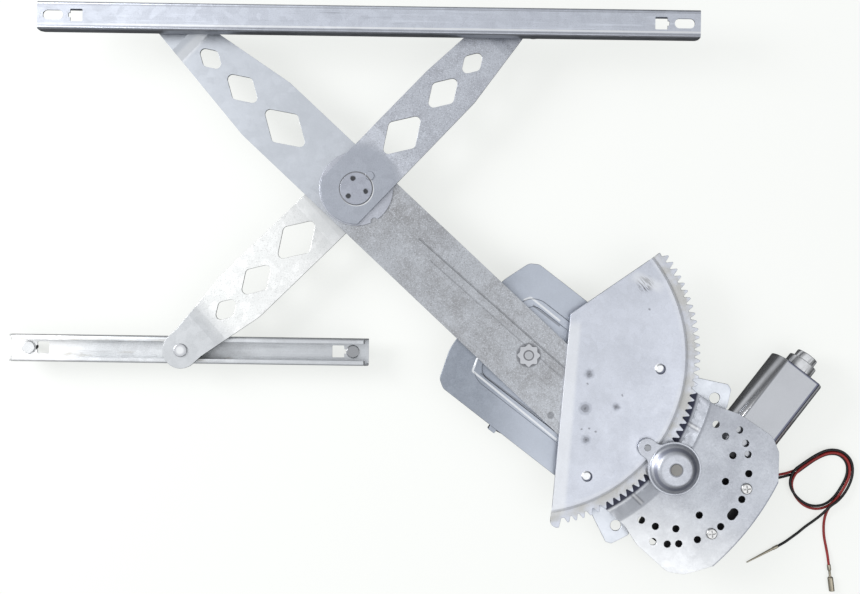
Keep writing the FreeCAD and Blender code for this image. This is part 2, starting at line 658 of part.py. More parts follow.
def motor_bracket():
    low, high = BASE_TOP, BRACKET_TOP
    reach = (0.0, BRACKET_EDGE[0][1], 0.0)
    plan = sheet(mirrored((reach,) + BRACKET_EDGE), low, high)
    bracket = pressed_bracket_profile().common(plan)
    for side in (-1.0, 1.0):
        bracket = bracket.fuse(gusset(side))
    bracket = bracket.cut(bar(CENTRES, 0.0, BRACKET_NOTCH, low - PAST, high + PAST))
    for radius, angle in BRACKET_HOLES:
        for side in (-1.0, 1.0):
            x, y = at_polar(radius, side * angle)
            bracket = bracket.cut(bar(x, y, BRACKET_HOLE_R, low - PAST, high + PAST))
    at, wide, long = BRACKET_SLOT
    slot = slot_hole(0.0, long, wide, low - PAST, high + PAST)
    slot.rotate(V(0, 0, 0), UP, 90.0)
    slot.translate(V(at, 0, 0))
    bracket = bracket.cut(slot)
    for side in (-1.0, 1.0):
        x, y = at_polar(MOUNT_SCREWS[0], side * MOUNT_SCREWS[1])
        bracket = bracket.cut(bar(x, y, SCREW_R, low - PAST, high + PAST))
    return placed(bracket.removeSplitter(), BASE_TURN)


def involute(angle):
    return math.tan(angle) - angle


def tooth_half(radius, teeth):
    """Half the angle a tooth covers at a radius, in degrees."""
    pitch = MODULE * teeth / 2.0
    press = math.radians(PRESSURE)
    base = pitch * math.cos(press)
    here = math.acos(min(1.0, base / radius))
    half = math.pi / (2.0 * teeth) - THINNING / (2.0 * pitch)
    return math.degrees(half + involute(press) - involute(here))


def tooth_edges(teeth, centre, root, tip):
    """Left and right flank points, from root to tip, of the tooth at an angle."""
    pitch = MODULE * teeth / 2.0
    base = pitch * math.cos(math.radians(PRESSURE))
    start = max(root, base)
    radii = (start, (start + tip) / 2.0, tip)
    left = [at_polar(r, centre - tooth_half(r, teeth)) for r in radii]
    right = [at_polar(r, centre + tooth_half(r, teeth)) for r in radii]
    if start > root:
        left.insert(0, at_polar(root, centre - tooth_half(start, teeth)))
        right.insert(0, at_polar(root, centre + tooth_half(start, teeth)))
    return left, right


def tooth_chain(teeth, centres, root, tip):
    """Edges that run round the teeth, and the first and last point."""
    edges = []
    last = None
    first = None
    for centre in centres:
        left, right = tooth_edges(teeth, centre, root, tip)
        if last is not None:
            edges.append(straight(last, left[0]))
        else:
            first = left[0]
        for flank in (left, list(reversed(right))):
            if flank is not left:
                edges.append(straight(left[-1], flank[0]))
            arc = flank if len(flank) == 3 else (flank[1:] if flank is left else flank[:-1])
            if len(flank) == 4 and flank is left:
                edges.append(straight(flank[0], flank[1]))
            edges.append(Part.Arc(*[V(p[0], p[1], 0) for p in arc]).toShape())
            if len(flank) == 4 and flank is not left:
                edges.append(straight(flank[2], flank[3]))
        last = right[0]
    return edges, first, last


def straight(a, b):
    return Part.LineSegment(V(a[0], a[1], 0), V(b[0], b[1], 0)).toShape()


def extruded(edges, bottom, top):
    face = Part.Face(Part.Wire(edges))
    face.translate(V(0, 0, bottom))
    return face.extrude(V(0, 0, top - bottom))


def sector_gear():
    pitch = MODULE * SECTOR_FULL / 2.0
    step = 360.0 / SECTOR_FULL
    centres = [BASE_TURN + (i + 0.5) * step for i in range(SECTOR_TEETH[0], SECTOR_TEETH[1] + 1)]
    root, tip = pitch - 1.25 * MODULE, pitch + MODULE
    edges, first, last = tooth_chain(SECTOR_FULL, centres, root, tip)
    hub, upper, lower = SECTOR_HUB
    dip = at_polar(root, centres[0] - 0.8 * step)
    heel, bend, toe = [(lower[0] + dx, lower[1] + dy) for dx, dy in SECTOR_HEEL]
    edges += [straight(last, upper), straight(upper, hub), straight(hub, heel)]
    edges.append(Part.Arc(V(*heel, 0), V(*bend, 0), V(*toe, 0)).toShape())
    edges += [straight(toe, dip), straight(dip, first)]
    top = LIFT_TOP + SECTOR_GAUGE
    blank = extruded(edges, LIFT_TOP - RIM_DROP, top)
    a, b = RIM_STEP
    form = turned(((0.0, LIFT_TOP), (a, LIFT_TOP), (b, LIFT_TOP - RIM_DROP),
                   (tip + 4.0, LIFT_TOP - RIM_DROP), (tip + 4.0, top - RIM_DROP), (b, top - RIM_DROP),
                   (a, top), (0.0, top)))
    gear = blank.common(form)
    for x, y in SECTOR_BUMPS:
        gear = gear.fuse(Part.makeCone(BUMP_R, BUMP_R - BUMP_SLOPE, BUMP_HIGH, V(x, y, top)))
    return gear.removeSplitter()


def pivot_shaft():
    top = LIFT_TOP
    shaft = bar(0.0, 0.0, PIVOT_R, SPRING_Z[0] - 1.0, top)
    lobes = []
    for i in range(2 * STAR_LOBES):
        radius = STAR_R if i % 2 == 0 else STAR_DIP
        x, y = at_polar(radius, i * 180.0 / STAR_LOBES)
        lobes.append((x, y, STAR_ROUND))
    shaft = shaft.fuse(sheet(lobes, top, top + STAR_HIGH))
    shaft = shaft.fuse(bar(0.0, 0.0, PIN_R, top, top + STAR_HIGH + PIN_HIGH))
    half, reach = SPRING_GAUGE / 2.0 + SLOT_FIT, PIVOT_R + 1.0
    slot = block(-reach, reach, -half, half, SPRING_Z[0] - 2.0, SPRING_Z[1] + SLOT_FIT)
    return shaft.cut(placed(slot, BASE_TURN + SPRING_END))


def pivot_bushing():
    top = LIFT_LEVEL - FACE_GAP
    corners = ((PIVOT_R + RUN_FIT, BASE_LEVEL - BUSH_LOW), (BUSH_R, BASE_LEVEL - BUSH_LOW), (BUSH_R, BASE_TOP),
               (BUSH_FLANGE, BASE_TOP), (BUSH_FLANGE, top, BUSH_ROUND), (PIVOT_R + RUN_FIT, top))
    return turned(corners)


def pinion_place():
    return at_polar(CENTRES, BASE_TURN)


def pinion():
    pitch = MODULE * PINION_TEETH / 2.0
    step = 360.0 / PINION_TEETH
    centres = [i * step for i in range(PINION_TEETH)]
    edges, first, last = tooth_chain(PINION_TEETH, centres, pitch - 1.25 * MODULE, pitch + MODULE)
    edges.append(straight(last, first))
    gear = extruded(edges, PINION_Z[0], PINION_Z[1])
    gear = placed(gear, 180.0)
    top = BRACKET_TOP + CAP_HIGH + SHAFT_PROUD
    gear = gear.fuse(bar(0.0, 0.0, PINION_SHAFT, FLOOR + COVER_HIGH + BOSS_GAP, top))
    gear = gear.fuse(bar(0.0, 0.0, DRIVER_R, WHEEL_Z[0] + WHEEL_WEB, WHEEL_Z[1] - WHEEL_WEB))
    x, y = pinion_place()
    return placed(gear.removeSplitter(), BASE_TURN, x, y)


def worm_wheel():
    corners = []
    for i in range(WHEEL_TEETH):
        corners.append(at_polar(WHEEL_R, i * 360.0 / WHEEL_TEETH))
        corners.append(at_polar(WHEEL_R - WHEEL_TOOTH, (i + 0.5) * 360.0 / WHEEL_TEETH))
    wheel = sheet(corners, WHEEL_Z[0], WHEEL_Z[1])
    wheel = wheel.cut(bar(0.0, 0.0, DAMPER_R, WHEEL_Z[0] + WHEEL_WEB, WHEEL_Z[1] + PAST))
    wheel = wheel.cut(bar(0.0, 0.0, PINION_SHAFT, WHEEL_Z[0] - PAST, WHEEL_Z[1] + PAST))
    x, y = pinion_place()
    return placed(wheel, BASE_TURN, x, y)


def wheel_damper():
    x, y = pinion_place()
    low, high = WHEEL_Z[0] + WHEEL_WEB, WHEEL_Z[1] - WHEEL_WEB
    return ring(x, y, DAMPER_R, DRIVER_R, low, high)


def pinion_cap():
    """Pressed cap over the pinion, with an ear that carries the guide button."""
    low = BRACKET_TOP
    g, high = CAP_GAUGE, low + CAP_HIGH
    bore, foot = PINION_SHAFT + RUN_FIT, low + CAP_SHOULDER
    lean = CAP_BODY - CAP_LEAN
    crown, shoulder, toe, inner_shoulder, inner_crown = CAP_CURVES
    corners = ((bore, high), (CAP_FLAT, high, crown), (lean, foot, shoulder), (CAP_BODY, low + g, toe),
               (CAP_RIM, low + g), (CAP_RIM, low), (CAP_BODY - g, low),
               (lean - g, foot - g / 2.0, inner_shoulder), (CAP_FLAT - g / 2.0, high - g, inner_crown),
               (bore, high - g))
    side = CAP_RIM - EAR_FLARE
    neck = ((EAR_AT, -EAR_R), (-CAP_RIM, -EAR_R, EAR_FLARE), (-CAP_FLAT, -side),
            (-CAP_FLAT, side), (-CAP_RIM, EAR_R, EAR_FLARE), (EAR_AT, EAR_R))
    ear = bar(EAR_AT, 0.0, EAR_R, low, low + g).fuse(sheet(neck, low, low + g))
    ear = ear.cut(bar(0.0, 0.0, CAP_BODY - g, low - PAST, low + g + PAST))
    ear = ear.cut(bar(EAR_AT, 0.0, RIVET_R, low - PAST, low + g + PAST))
    return placed(turned(corners).fuse(ear).removeSplitter(), BASE_TURN, *pinion_place())


def cap_guide_button():
    """Plastic button riveted under the ear that keeps the sector's rim down."""
    low = LIFT_TOP + SECTOR_GAUGE + BUTTON_GAP
    top = BRACKET_TOP + CAP_GAUGE
    corners = ((0.0, low), (BUTTON_R, low, RIVET_ROUND), (BUTTON_R, BRACKET_TOP), (RIVET_R, BRACKET_TOP),
               (RIVET_R, top), (RIVET_HEAD, top), (RIVET_HEAD, top + RIVET_HIGH, RIVET_ROUND),
               (0.0, top + RIVET_HIGH))
    return placed(turned(corners, EAR_AT, 0.0), BASE_TURN, *pinion_place())


def gearbox_housing():
    low, x = FLOOR + COVER_HIGH, MOTOR_AT
    shell = bar(0.0, 0.0, BOX_R, low, BOX_TOP)
    shell = shell.fuse(lying(TUBE_R, TUBE_ENDS[0], TUBE_ENDS[1], x, MOTOR_Z))
    first, last = TUBE_ENDS[0] + BOSS_WALL, TUBE_ENDS[1]
    shell = shell.fuse(block(x - TUBE_R, x + TUBE_R, first, last, MOTOR_Z - TUBE_FOOT, MOTOR_Z))
    radius, thick = TUBE_FLANGE
    flange = lying(radius, CAN_ENDS[0] - thick, CAN_ENDS[0], x, MOTOR_Z)
    shell = shell.fuse(flange.common(block(x - CAN_R, x + CAN_R, 0.0, CAN_ENDS[0], MOTOR_Z - CAN_FLAT,
                                           MOTOR_Z + CAN_FLAT)))
    sx, sy = at_polar(MOUNT_SCREWS[0], MOUNT_SCREWS[1])
    sx = sx - CENTRES
    web = [(along - CENTRES, across, r) for along, across, r in WEB_EDGE]
    shell = shell.fuse(sheet(web, WEB_Z[0], WEB_Z[1]))
    near, far, first, last = LUG
    lug = block(near - CENTRES, far - CENTRES, first, last, GROMMET_Z[0], GROMMET_Z[1])
    shell = shell.fuse(lug)
    for side in (-1.0, 1.0):
        shell = shell.fuse(bar(sx, side * sy, PILLAR_R, MOTOR_Z - PILLAR_R, BRACKET_TOP - BRACKET_GAUGE))
    shell = shell.fuse(bar(0.0, 0.0, PINION_SHAFT + BOSS_WALL, BOX_TOP - BOX_ROOF, PINION_Z[0] - BOSS_GAP))
    shell = shell.cut(bar(0.0, 0.0, WHEEL_R + BOX_ROOM, low - PAST, BOX_TOP - BOX_ROOF))
    shell = shell.cut(bar(0.0, 0.0, PINION_SHAFT + RUN_FIT, low, BRACKET_TOP))
    shell = shell.cut(lying(WORM_R + WORM_ROOM, TUBE_ENDS[0] + WORM_END, CAN_ENDS[0] + PAST, x, MOTOR_Z))
    for side in (-1.0, 1.0):
        shell = shell.cut(bar(sx, side * sy, SCREW_R, MOTOR_Z, BRACKET_TOP))
    return placed(shell.removeSplitter(), BASE_TURN, *pinion_place())


def gearbox_cover():
    low, high = FLOOR, FLOOR + COVER_HIGH
    cover = bar(0.0, 0.0, BOX_R, low, high)
    cover = cover.fuse(ring(0.0, 0.0, PINION_SHAFT + BOSS_WALL, PINION_SHAFT + RUN_FIT, high - PAST, high + COVER_BOSS))
    outer, inner, deep = COVER_GROOVE
    cover = cover.cut(ring(0.0, 0.0, outer, inner, low - PAST, low + deep))
    return placed(cover.removeSplitter(), BASE_TURN, *pinion_place())


def motor_screw(side):
    x, y = at_polar(MOUNT_SCREWS[0], side * MOUNT_SCREWS[1])
    low = BRACKET_TOP
    corners = ((0.0, MOTOR_Z + PAST), (SCREW_R, MOTOR_Z + PAST), (SCREW_R, low), (SCREW_HEAD, low),
               (SCREW_HEAD, low + SCREW_HIGH, SCREW_ROUND), (0.0, low + SCREW_HIGH))
    screw = turned(corners, x, y)
    long, half, deep = RECESS
    for angle in (45.0, 135.0):
        arm = block(-long, long, -half, half, low + SCREW_HIGH - deep, low + SCREW_HIGH + PAST)
        screw = screw.cut(placed(arm, angle, x, y))
    return placed(screw, BASE_TURN)


def can_shape(radius, flat_half, start, stop):
    body = lying(radius, start, stop, 0.0, 0.0)
    return body.common(block(-radius, radius, start, stop, -flat_half, flat_half))


def on_motor(shape):
    shape = shape.copy()
    shape.translate(V(MOTOR_AT, 0, MOTOR_Z))
    return placed(shape, BASE_TURN, *pinion_place())


def motor_can():
    start, stop = CAN_ENDS
    can = can_shape(CAN_R, CAN_FLAT, start, stop)
    can = can.fuse(lying(END_BOSS[0], stop - CAN_WALL, END_BOSS[1], 0.0, 0.0))
    can = can.fuse(lying(END_NUB[0], stop - CAN_WALL, END_NUB[1], 0.0, 0.0))
    can = can.cut(can_shape(CAN_R - CAN_WALL, CAN_FLAT - CAN_WALL, start - PAST, stop - CAN_WALL))
    can = can.cut(lying(BEARING_R, stop - CAN_WALL - PAST, END_NUB[1] - NUB_WALL, 0.0, 0.0))
    return on_motor(can.removeSplitter())


def magnet(side):
    start, stop = MAGNET_ENDS
    arc = lying(CAN_R - CAN_WALL, start, stop, 0.0, 0.0).cut(lying(MAGNET_R, start, stop, 0.0, 0.0))
    edge, half = MAGNET_FACE
    near, far = (edge, CAN_R) if side > 0 else (-CAN_R, -edge)
    return on_motor(arc.common(block(near, far, start, stop, -half, half)))


def armature_core():
    core = lying(CORE_R, CORE_ENDS[0], CORE_ENDS[1], 0.0, 0.0)
    core = core.cut(lying(SHAFT_R, CORE_ENDS[0] - PAST, CORE_ENDS[1] + PAST, 0.0, 0.0))
    half, deep = CORE_SLOT
    for i in range(CORE_SLOTS):
        slot = block(-half, half, CORE_ENDS[0] - PAST, CORE_ENDS[1] + PAST, CORE_R - deep, CORE_R + PAST)
        slot.rotate(V(0, 0, 0), V(0, 1, 0), i * 360.0 / CORE_SLOTS)
        core = core.cut(slot)
    return on_motor(core)


def armature_shaft():
    shaft = lying(SHAFT_R, TUBE_ENDS[0] + WORM_END + NUB_WALL, END_NUB[1] - 2.0 * NUB_WALL, 0.0, 0.0)
    root = WORM_R - WORM_TOOTH
    shaft = shaft.fuse(lying(root, -WORM_HALF, WORM_HALF, 0.0, 0.0))
    pitch = 2.0 * WORM_HALF / WORM_TURNS
    flank = WORM_FLANK * pitch
    for i in range(WORM_TURNS):
        crest = -WORM_HALF + (i + 0.5) * pitch
        shaft = shaft.fuse(Part.makeCone(root, WORM_R, flank, V(0, crest - flank, 0), V(0, 1, 0)))
        shaft = shaft.fuse(Part.makeCone(WORM_R, root, flank, V(0, crest, 0), V(0, 1, 0)))
    return on_motor(shaft.removeSplitter())


def commutator():
    radius, start, stop = COMMUTATOR
    return on_motor(lying(radius, start, stop, 0.0, 0.0).cut(lying(SHAFT_R, start, stop, 0.0, 0.0)))


def brush_holder():
    start = CAN_ENDS[0]
    thick, gap = HOLDER
    holder = can_shape(CAN_R - CAN_WALL, CAN_FLAT - CAN_WALL, start, start + thick)
    return on_motor(holder.cut(lying(COMMUTATOR[0] + gap, start - PAST, start + thick + PAST, 0.0, 0.0)))


def brush(side):
    radius = COMMUTATOR[0] + RUN_FIT
    near, far, half = BRUSH
    start, stop = COMMUTATOR[1] + HOLDER[1], COMMUTATOR[2] - HOLDER[1]
    body = block(near, far, start, stop, -half, half).cut(lying(radius, start, stop, 0.0, 0.0))
    body = body.fuse(block(far - STEM / 2.0, far, CAN_ENDS[0] + HOLDER[0], start, -half, half))
    if side < 0.0:
        body.rotate(V(0, 0, 0), V(0, 1, 0), 180.0)
    return on_motor(body.removeSplitter())


def rear_bush():
    stop = END_NUB[1] - NUB_WALL
    start = stop - REAR_BUSH
    bush = lying(BEARING_R, start, stop, 0.0, 0.0)
    return on_motor(bush.cut(lying(SHAFT_R + RUN_FIT, start - PAST, stop + PAST, 0.0, 0.0)))


def coil_point(turn, inset):
    """Point of the coil after a number of turns; its middle drifts off the pivot."""
    share = turn / SPRING_TURNS
    radius = SPRING_INNER + (SPRING_OUTER - SPRING_INNER) * share - inset
    x, y = at_polar(radius, SPRING_END + 360.0 * (SPRING_TURNS - turn))
    return V(x + SPRING_SHIFT * share * share, y, 0)


def coil_curve(inset):
    steps = SPRING_TURNS * SPRING_STEPS
    curve = Part.BSplineCurve()
    curve.interpolate([coil_point(i / SPRING_STEPS, inset) for i in range(steps + 1)])
    return curve.toShape()


def spring_coil():
    outer, inner = coil_curve(0.0), coil_curve(SPRING_GAUGE)
    ends = [straight(coil_point(turn, 0.0), coil_point(turn, SPRING_GAUGE))
            for turn in (0.0, float(SPRING_TURNS))]
    return extruded(Part.__sortEdges__([outer, ends[1], inner, ends[0]]), SPRING_Z[0], SPRING_Z[1])


def counterbalance_spring():
    """Clock spring behind the base plate, its inner end bent into the shaft's slot."""
    half = SPRING_GAUGE / 2.0
    tang = block(0.0, SPRING_INNER, -half, half, SPRING_Z[0], SPRING_Z[1])
    spring = spring_coil().fuse(placed(tang, SPRING_END))
    return placed(spring.removeSplitter(), BASE_TURN)


def spring_anchor():
    """Forked tab under the base plate that holds the outer end of the spring."""
    end = coil_point(float(SPRING_TURNS), 0.0)
    left, right, outward, inward = ANCHOR
    post = block(end.x + left, end.x + right, end.y + outward, end.y + inward, SPRING_Z[0], BASE_LEVEL)
    return placed(post.cut(spring_coil()), BASE_TURN)


def wire_grommet():
    """Rubber block on the lug of the housing that the two leads come out of."""
    stop, first, last = GROMMET
    low, high = GROMMET_Z
    r = GROMMET_ROUND
    outline = ((first, low, r), (last, low, r), (last, high, r), (first, high, r))
    face = Part.Face(bent_wire(outline, endwise))
    face.translate(V(LUG[1], 0, 0))
    return placed(face.extrude(V(stop - LUG[1], 0, 0)), BASE_TURN)


def route_edges(points):
    """Straight runs and tangent arcs through the route points, and the smallest arc radius."""
    corners = [V(*p) for p in points]
    edges, start, radii = [], corners[0], []
    for before, here, after in zip(corners, corners[1:], corners[2:]):
        back, ahead = before - here, after - here
        run = LEAD_TURN * min(back.Length, ahead.Length)
        half_turn = (math.pi - back.getAngle(ahead)) / 2.0
        radius = run / math.tan(half_turn)
        radii.append(radius)
        back.normalize()
        ahead.normalize()
        inward = back + ahead
        inward.normalize()
        middle = here + inward * (radius / math.cos(half_turn) - radius)
        edges.append(Part.LineSegment(start, here + back * run).toShape())
        edges.append(Part.Arc(here + back * run, middle, here + ahead * run).toShape())
        start = here + ahead * run
    edges.append(Part.LineSegment(start, corners[-1]).toShape())
    return edges, min(radii)


def lead(name, points):
    """Insulated lead lying on the floor in front of the motor."""
    edges, smallest = route_edges(points)
    spine = Part.Wire(edges)
    start = V(*points[0])
    circle = Part.Circle(start, V(*points[1]) - start, LEAD / 2.0).toShape()
    tube = spine.makePipeShell([Part.Wire(circle)], True, False)
    expected = math.pi * LEAD * LEAD / 4.0 * spine.Length
    print(name, "length", round(spine.Length, 1), "smallest arc", round(smallest, 1),
          "volume ratio", round(tube.Volume / expected, 4))
    return tube


def terminal(points, profile):
    """Crimped terminal that carries on in the direction in which its lead ends."""
    tip = V(*points[-1])
    back = V(*points[-2])
    solid = turned(profile)
    solid.Placement = FreeCAD.Placement(tip, FreeCAD.Rotation(UP, tip - back))
    return solid


def all_nodes():
    nodes = {
        "base_plate": base_plate(),
        "motor_bracket": motor_bracket(),
        "pivot_bushing": pivot_bushing(),
        "pinion_cap": pinion_cap(),
        "cap_guide_button": cap_guide_button(),
        "gearbox_housing": gearbox_housing(),
        "gearbox_cover": gearbox_cover(),
        "motor_screw_near": motor_screw(-1.0),
        "motor_screw_far": motor_screw(1.0),
        "motor_can": motor_can(),
        "magnet_inner": magnet(-1.0),
        "magnet_outer": magnet(1.0),
        "armature_core": armature_core(),
        "armature_shaft": armature_shaft(),
        "commutator": commutator(),
        "brush_holder": brush_holder(),
        "brush_inner": brush(-1.0),
        "brush_outer": brush(1.0),
        "rear_bush": rear_bush(),
        "spring_anchor": spring_anchor(),
        "lower_rail": lower_rail(),
        "lower_rail_stud_left": lower_rail_stud(LOW_RAIL[0], 1.0),
        "lower_rail_stud_right": lower_rail_stud(LOW_RAIL[1], -1.0),
        "lift_arm": lift_arm(),
        "sector_gear": sector_gear(),
        "pivot_shaft": pivot_shaft(),
        "upper_left_stud": shoe_stud("upper_left", UPPER_LEVEL, True),
        "equalizer_upper_arm": equalizer_upper_arm(),
        "equalizer_lower_arm": equalizer_lower_arm(),
        "cross_hub": cross_hub(),
        "hub_washer_front": hub_washer(LIFT_TOP + FACE_GAP, UPPER_LEVEL),
        "hub_washer_rear": hub_washer(LOWER_LEVEL + ARM_GAUGE, LIFT_LEVEL - FACE_GAP),
        "upper_right_stud": shoe_stud("upper_right", UPPER_LEVEL, True),
        "lower_stud": shoe_stud("lower", LOWER_LEVEL, False),
        "upper_left_shoe": shoe("upper_left", TOP_RAIL_LEVEL, True),
        "upper_right_shoe": shoe("upper_right", TOP_RAIL_LEVEL, True),
        "lower_shoe": shoe("lower", LOW_RAIL_LEVEL, False),
        "top_rail": top_rail(),
        "pinion": pinion(),
        "worm_wheel": worm_wheel(),
        "wheel_damper": wheel_damper(),
        "counterbalance_spring": counterbalance_spring(),
        "wire_grommet": wire_grommet(),
    }
    return nodes


def cord_nodes():
    return {
        "red_wire": lead("red_wire", RED_ROUTE),
        "black_wire": lead("black_wire", BLACK_ROUTE),
        "red_terminal": terminal(RED_ROUTE, RED_TERMINAL),
        "black_terminal": terminal(BLACK_ROUTE, BLACK_TERMINAL),
    }


def save(nodes, cords):
    """Put the origin under the middle of the box round the part without its cords."""
    room = FreeCAD.BoundBox()
    for shape in nodes.values():
        room.add(shape.optimalBoundingBox())
    shift = V(-room.Center.x, -room.Center.y, -room.ZMin)
    os.makedirs("parts", exist_ok=True)
    for name, shape in list(nodes.items()) + list(cords.items()):
        if len(shape.Solids) != 1 or not shape.isValid():
            print("CHECK", name, len(shape.Solids), shape.isValid())
        solid = shape.Solids[0] if shape.Solids else shape
        solid = solid.copy()
        solid.translate(shift)
        solid.exportStep("parts/" + name + ".step")
    print("box", round(room.XLength, 3), round(room.YLength, 3), round(room.ZLength, 3))
    print("shift", round(shift.x, 4), round(shift.y, 4), round(shift.z, 4))


save(all_nodes(), cord_nodes())
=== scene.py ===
import json
import math

import bpy
from bpy.props import FloatProperty, FloatVectorProperty, PointerProperty
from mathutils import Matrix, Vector


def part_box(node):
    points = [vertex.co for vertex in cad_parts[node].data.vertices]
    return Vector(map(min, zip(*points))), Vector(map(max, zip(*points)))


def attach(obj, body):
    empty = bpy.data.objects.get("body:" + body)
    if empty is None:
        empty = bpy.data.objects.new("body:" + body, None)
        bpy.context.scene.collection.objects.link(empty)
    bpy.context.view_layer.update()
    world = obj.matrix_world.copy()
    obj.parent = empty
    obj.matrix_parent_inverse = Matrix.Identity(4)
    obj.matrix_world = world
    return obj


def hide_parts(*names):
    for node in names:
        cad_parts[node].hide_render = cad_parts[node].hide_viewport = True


bl_info = {
    "name": "Window regulator dressing",
    "version": (1, 0, 0),
    "blender": (4, 5, 0),
    "location": "View3D > Sidebar > Regulator",
    "description": "Finishes, welds, wires and studio for a scissor window regulator",
    "category": "Object",
}

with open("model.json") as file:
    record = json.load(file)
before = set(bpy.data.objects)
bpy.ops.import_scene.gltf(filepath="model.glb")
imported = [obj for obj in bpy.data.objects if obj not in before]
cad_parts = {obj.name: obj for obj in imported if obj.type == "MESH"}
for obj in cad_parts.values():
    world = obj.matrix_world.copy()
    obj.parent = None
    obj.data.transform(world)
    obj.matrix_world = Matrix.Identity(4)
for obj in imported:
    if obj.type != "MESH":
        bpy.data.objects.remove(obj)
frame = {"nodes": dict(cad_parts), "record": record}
NODES = frame["nodes"]
SLOTS = {row["node"]: row["material_slot"] for row in frame["record"]["subparts"]}

# The main pivot, read from the frame, is where every place on the part is measured from
PIVOT_LOW, PIVOT_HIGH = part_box("pivot_shaft")
PIVOT = Vector(((PIVOT_LOW.x + PIVOT_HIGH.x) / 2, (PIVOT_LOW.y + PIVOT_HIGH.y) / 2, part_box("lift_arm")[0].z))
MM = 0.001

# The frame's nodes by group of like pieces
BASE = ("base_plate", "motor_bracket", "pivot_bushing", "spring_anchor", "counterbalance_spring")
ARMS = ("lift_arm", "pivot_shaft", "upper_left_stud", "equalizer_upper_arm", "equalizer_lower_arm", "cross_hub",
        "hub_washer_front", "hub_washer_rear", "upper_right_stud", "lower_stud")
RAILS = ("top_rail", "lower_rail", "lower_rail_stud_left", "lower_rail_stud_right", "upper_left_shoe",
         "upper_right_shoe", "lower_shoe")
GEARS = ("sector_gear", "pinion", "pinion_cap", "cap_guide_button", "worm_wheel", "wheel_damper",
         "gearbox_housing", "gearbox_cover", "motor_screw_near", "motor_screw_far")
MOTOR = ("motor_can", "magnet_inner", "magnet_outer", "armature_core", "armature_shaft", "commutator",
         "brush_holder", "brush_inner", "brush_outer", "rear_bush")
WIRING = ("wire_grommet", "red_wire", "black_wire", "red_terminal", "black_terminal")

# Stamped sheets have the rolled edge of the press, turned and moulded pieces a small one
SHEETS = ("base_plate", "motor_bracket", "lift_arm", "equalizer_upper_arm", "equalizer_lower_arm", "motor_can")
SHEET_EDGE = 0.0008
SMALL_EDGE = 0.0004
EDGE_SEGMENTS = 2
EDGE_ANGLE = math.radians(40.0)
WELD_GAP = 0.000002
FLAT_ANGLE = math.radians(0.5)

# Noises of the metal: scale per metre, detail and roughness
CLOUD = (24.0, 6.0, 0.62)
GRAIN = (420.0, 4.0, 0.65)
FINE = (1100.0, 2.0, 0.5)
DRAWN = (230.0, 5.0, 0.7)
DRAWN_STRETCH = 26.0
SPANGLE = 150.0
DULLNESS = (40.0, 5.0, 0.6)
TEXTURE = (700.0, 3.0, 0.6)
BUMP_DEPTH = 0.0002


def layout(x, y, z=0.0):
    """Point in the row frame from millimetres measured from the main pivot."""
    return PIVOT + Vector((x, y, z)) * MM


